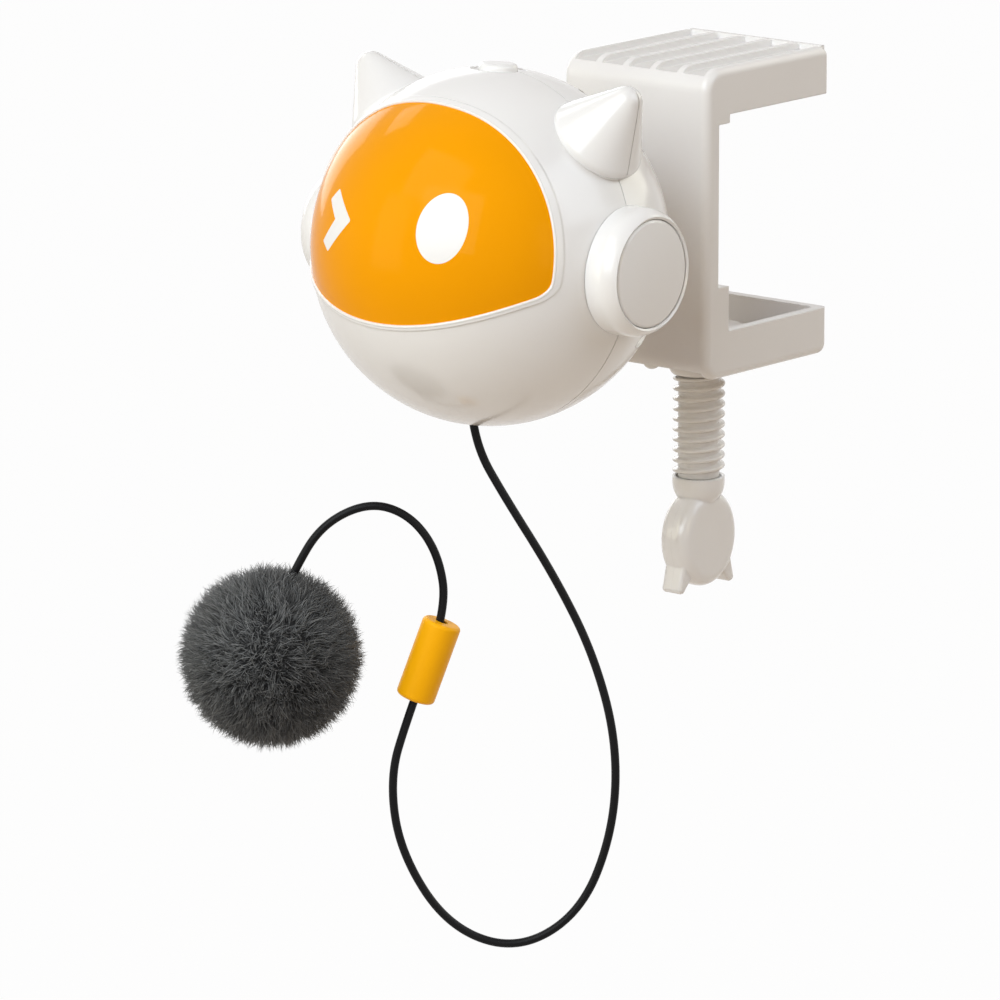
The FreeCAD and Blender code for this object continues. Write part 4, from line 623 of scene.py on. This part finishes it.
def ear_normals(place, side):
    """Which points lie on an ear's outside, and the exact normals there."""
    middle = np.array(HEAD_CENTRE)
    axis = to_world(side * math.sin(EAR_TILT), 0, math.cos(EAR_TILT))
    tip_side = side * math.sin(EAR_TIP_TURN) * EAR_TIP_REACH
    tip_up = math.cos(EAR_TIP_TURN) * EAR_TIP_REACH
    tip = middle + to_world(tip_side, EAR_BACK, tip_up)
    away = place - (tip - axis * EAR_LENGTH)
    up = away @ axis
    flat = away - up[:, None] * axis
    across = np.linalg.norm(flat, axis=1)
    flat /= np.maximum(across, 1e-9)[:, None]
    first, second = np.array(EAR_TIP[:2]), np.array(EAR_ROOT[:2])
    span = second - first
    far = np.linalg.norm(span)
    slant = (EAR_TIP[2] - EAR_ROOT[2]) / far
    along = span / far
    square = np.array([-along[1], along[0]])
    if square[0] < 0:
        square = -square
    flank = along * slant + square * math.sqrt(1 - slant * slant)
    points = np.stack([across, up], 1)
    normal = np.tile(flank, (len(points), 1))
    gap = np.abs(points @ flank - first @ flank - EAR_TIP[2])
    for round_middle, radius, above in ((first, EAR_TIP[2], True), (second, EAR_ROOT[2], False)):
        off = points - round_middle
        size = np.linalg.norm(off, axis=1)
        unit = off / np.maximum(size, 1e-9)[:, None]
        beyond = unit[:, 1] > flank[1] if above else (unit[:, 1] < flank[1]) & (off[:, 0] > 0)
        on = beyond & (np.abs(size - radius) < NEAR_ROUNDING)
        normal[on] = unit[on]
        gap[on] = np.abs(size[on] - radius)
    world = flat * normal[:, :1] + axis * normal[:, 1:]
    outside = np.linalg.norm(place - middle, axis=1) > HEAD_RADIUS - ON_BALL
    return (gap < ON_EAR) & (up > EAR_FOOT) & outside, world


def ball_skin(name, material, balls, ears=False):
    """A CAD form with finer faces on its balls and exact normals on its balls and ears."""
    mesh = nodes[name].data.copy()
    mesh.name = name + "_skin"
    mesh.materials.clear()
    mesh.materials.append(MATERIALS[material])
    refine(mesh, balls, LONGEST_EDGE)
    mesh.polygons.foreach_set("use_smooth", [True] * len(mesh.polygons))
    mesh.set_sharp_from_angle(angle=CREASE)
    place = np.empty(len(mesh.vertices) * 3)
    mesh.vertices.foreach_get("co", place)
    place = place.reshape(-1, 3)
    loops = np.empty(len(mesh.loops), dtype=np.int32)
    mesh.loops.foreach_get("vertex_index", loops)
    normals = np.empty(len(loops) * 3)
    mesh.corner_normals.foreach_get("vector", normals)
    normals = normals.reshape(-1, 3)
    faces = np.empty(len(mesh.polygons) * 3)
    mesh.polygons.foreach_get("normal", faces)
    flat = np.repeat(faces.reshape(-1, 3), 3, axis=0)
    forms = []
    for centre, radius in balls:
        out = place - np.array(centre)
        far = np.linalg.norm(out, axis=1)
        forms.append((np.abs(far - radius) < ON_SKIN, out / far[:, None]))
    if ears:
        forms += [ear_normals(place, side) for side in (-1, 1)]
    for on, exact in forms:
        whole = np.repeat(on[loops].reshape(-1, 3).all(axis=1), 3)
        chosen = whole & ((flat * exact[loops]).sum(1) > SAME_WAY)
        normals[chosen] = exact[loops[chosen]]
    mesh.normals_split_custom_set(normals.tolist())
    obj = link(bpy.data.objects.new(name + "_skin", mesh))
    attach(obj, body_of(name))
    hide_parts(name)
    return obj


def body_of(name):
    bodies = frame["record"]["behaviour"]["bodies"]
    return [body for body, held in bodies.items() if name in held][0]


scene.view_settings.view_transform = "Standard"
make_camera()
cord = make_cord()
fur, core = make_pom()
dress_nodes()
visor_radius = HEAD_RADIUS - VISOR_RECESS
shell_balls = ((HEAD_CENTRE, HEAD_RADIUS), (HEAD_CENTRE, HEAD_RADIUS + RIM_RISE))
for name in ("front_shell", "rear_shell", "battery_door"):
    ball_skin(name, "shell", shell_balls, name != "battery_door")
rim_bead()
for name, side in (("headphone_cap_left", -1), ("headphone_cap_right", 1)):
    middle = HEAD_CENTRE + Vector(to_world(side * (CAP_CROWN - CAP_BALL), CAP_BACK, -CAP_DROP))
    ball_skin(name, "shell", ((middle, CAP_BALL),))
ball_skin("visor", "amber", ((HEAD_CENTRE, visor_radius),))
for name in ("left_eye", "right_eye"):
    ball_skin(name, "eye", ((HEAD_CENTRE, visor_radius + EYE_RISE),))
make_studio()
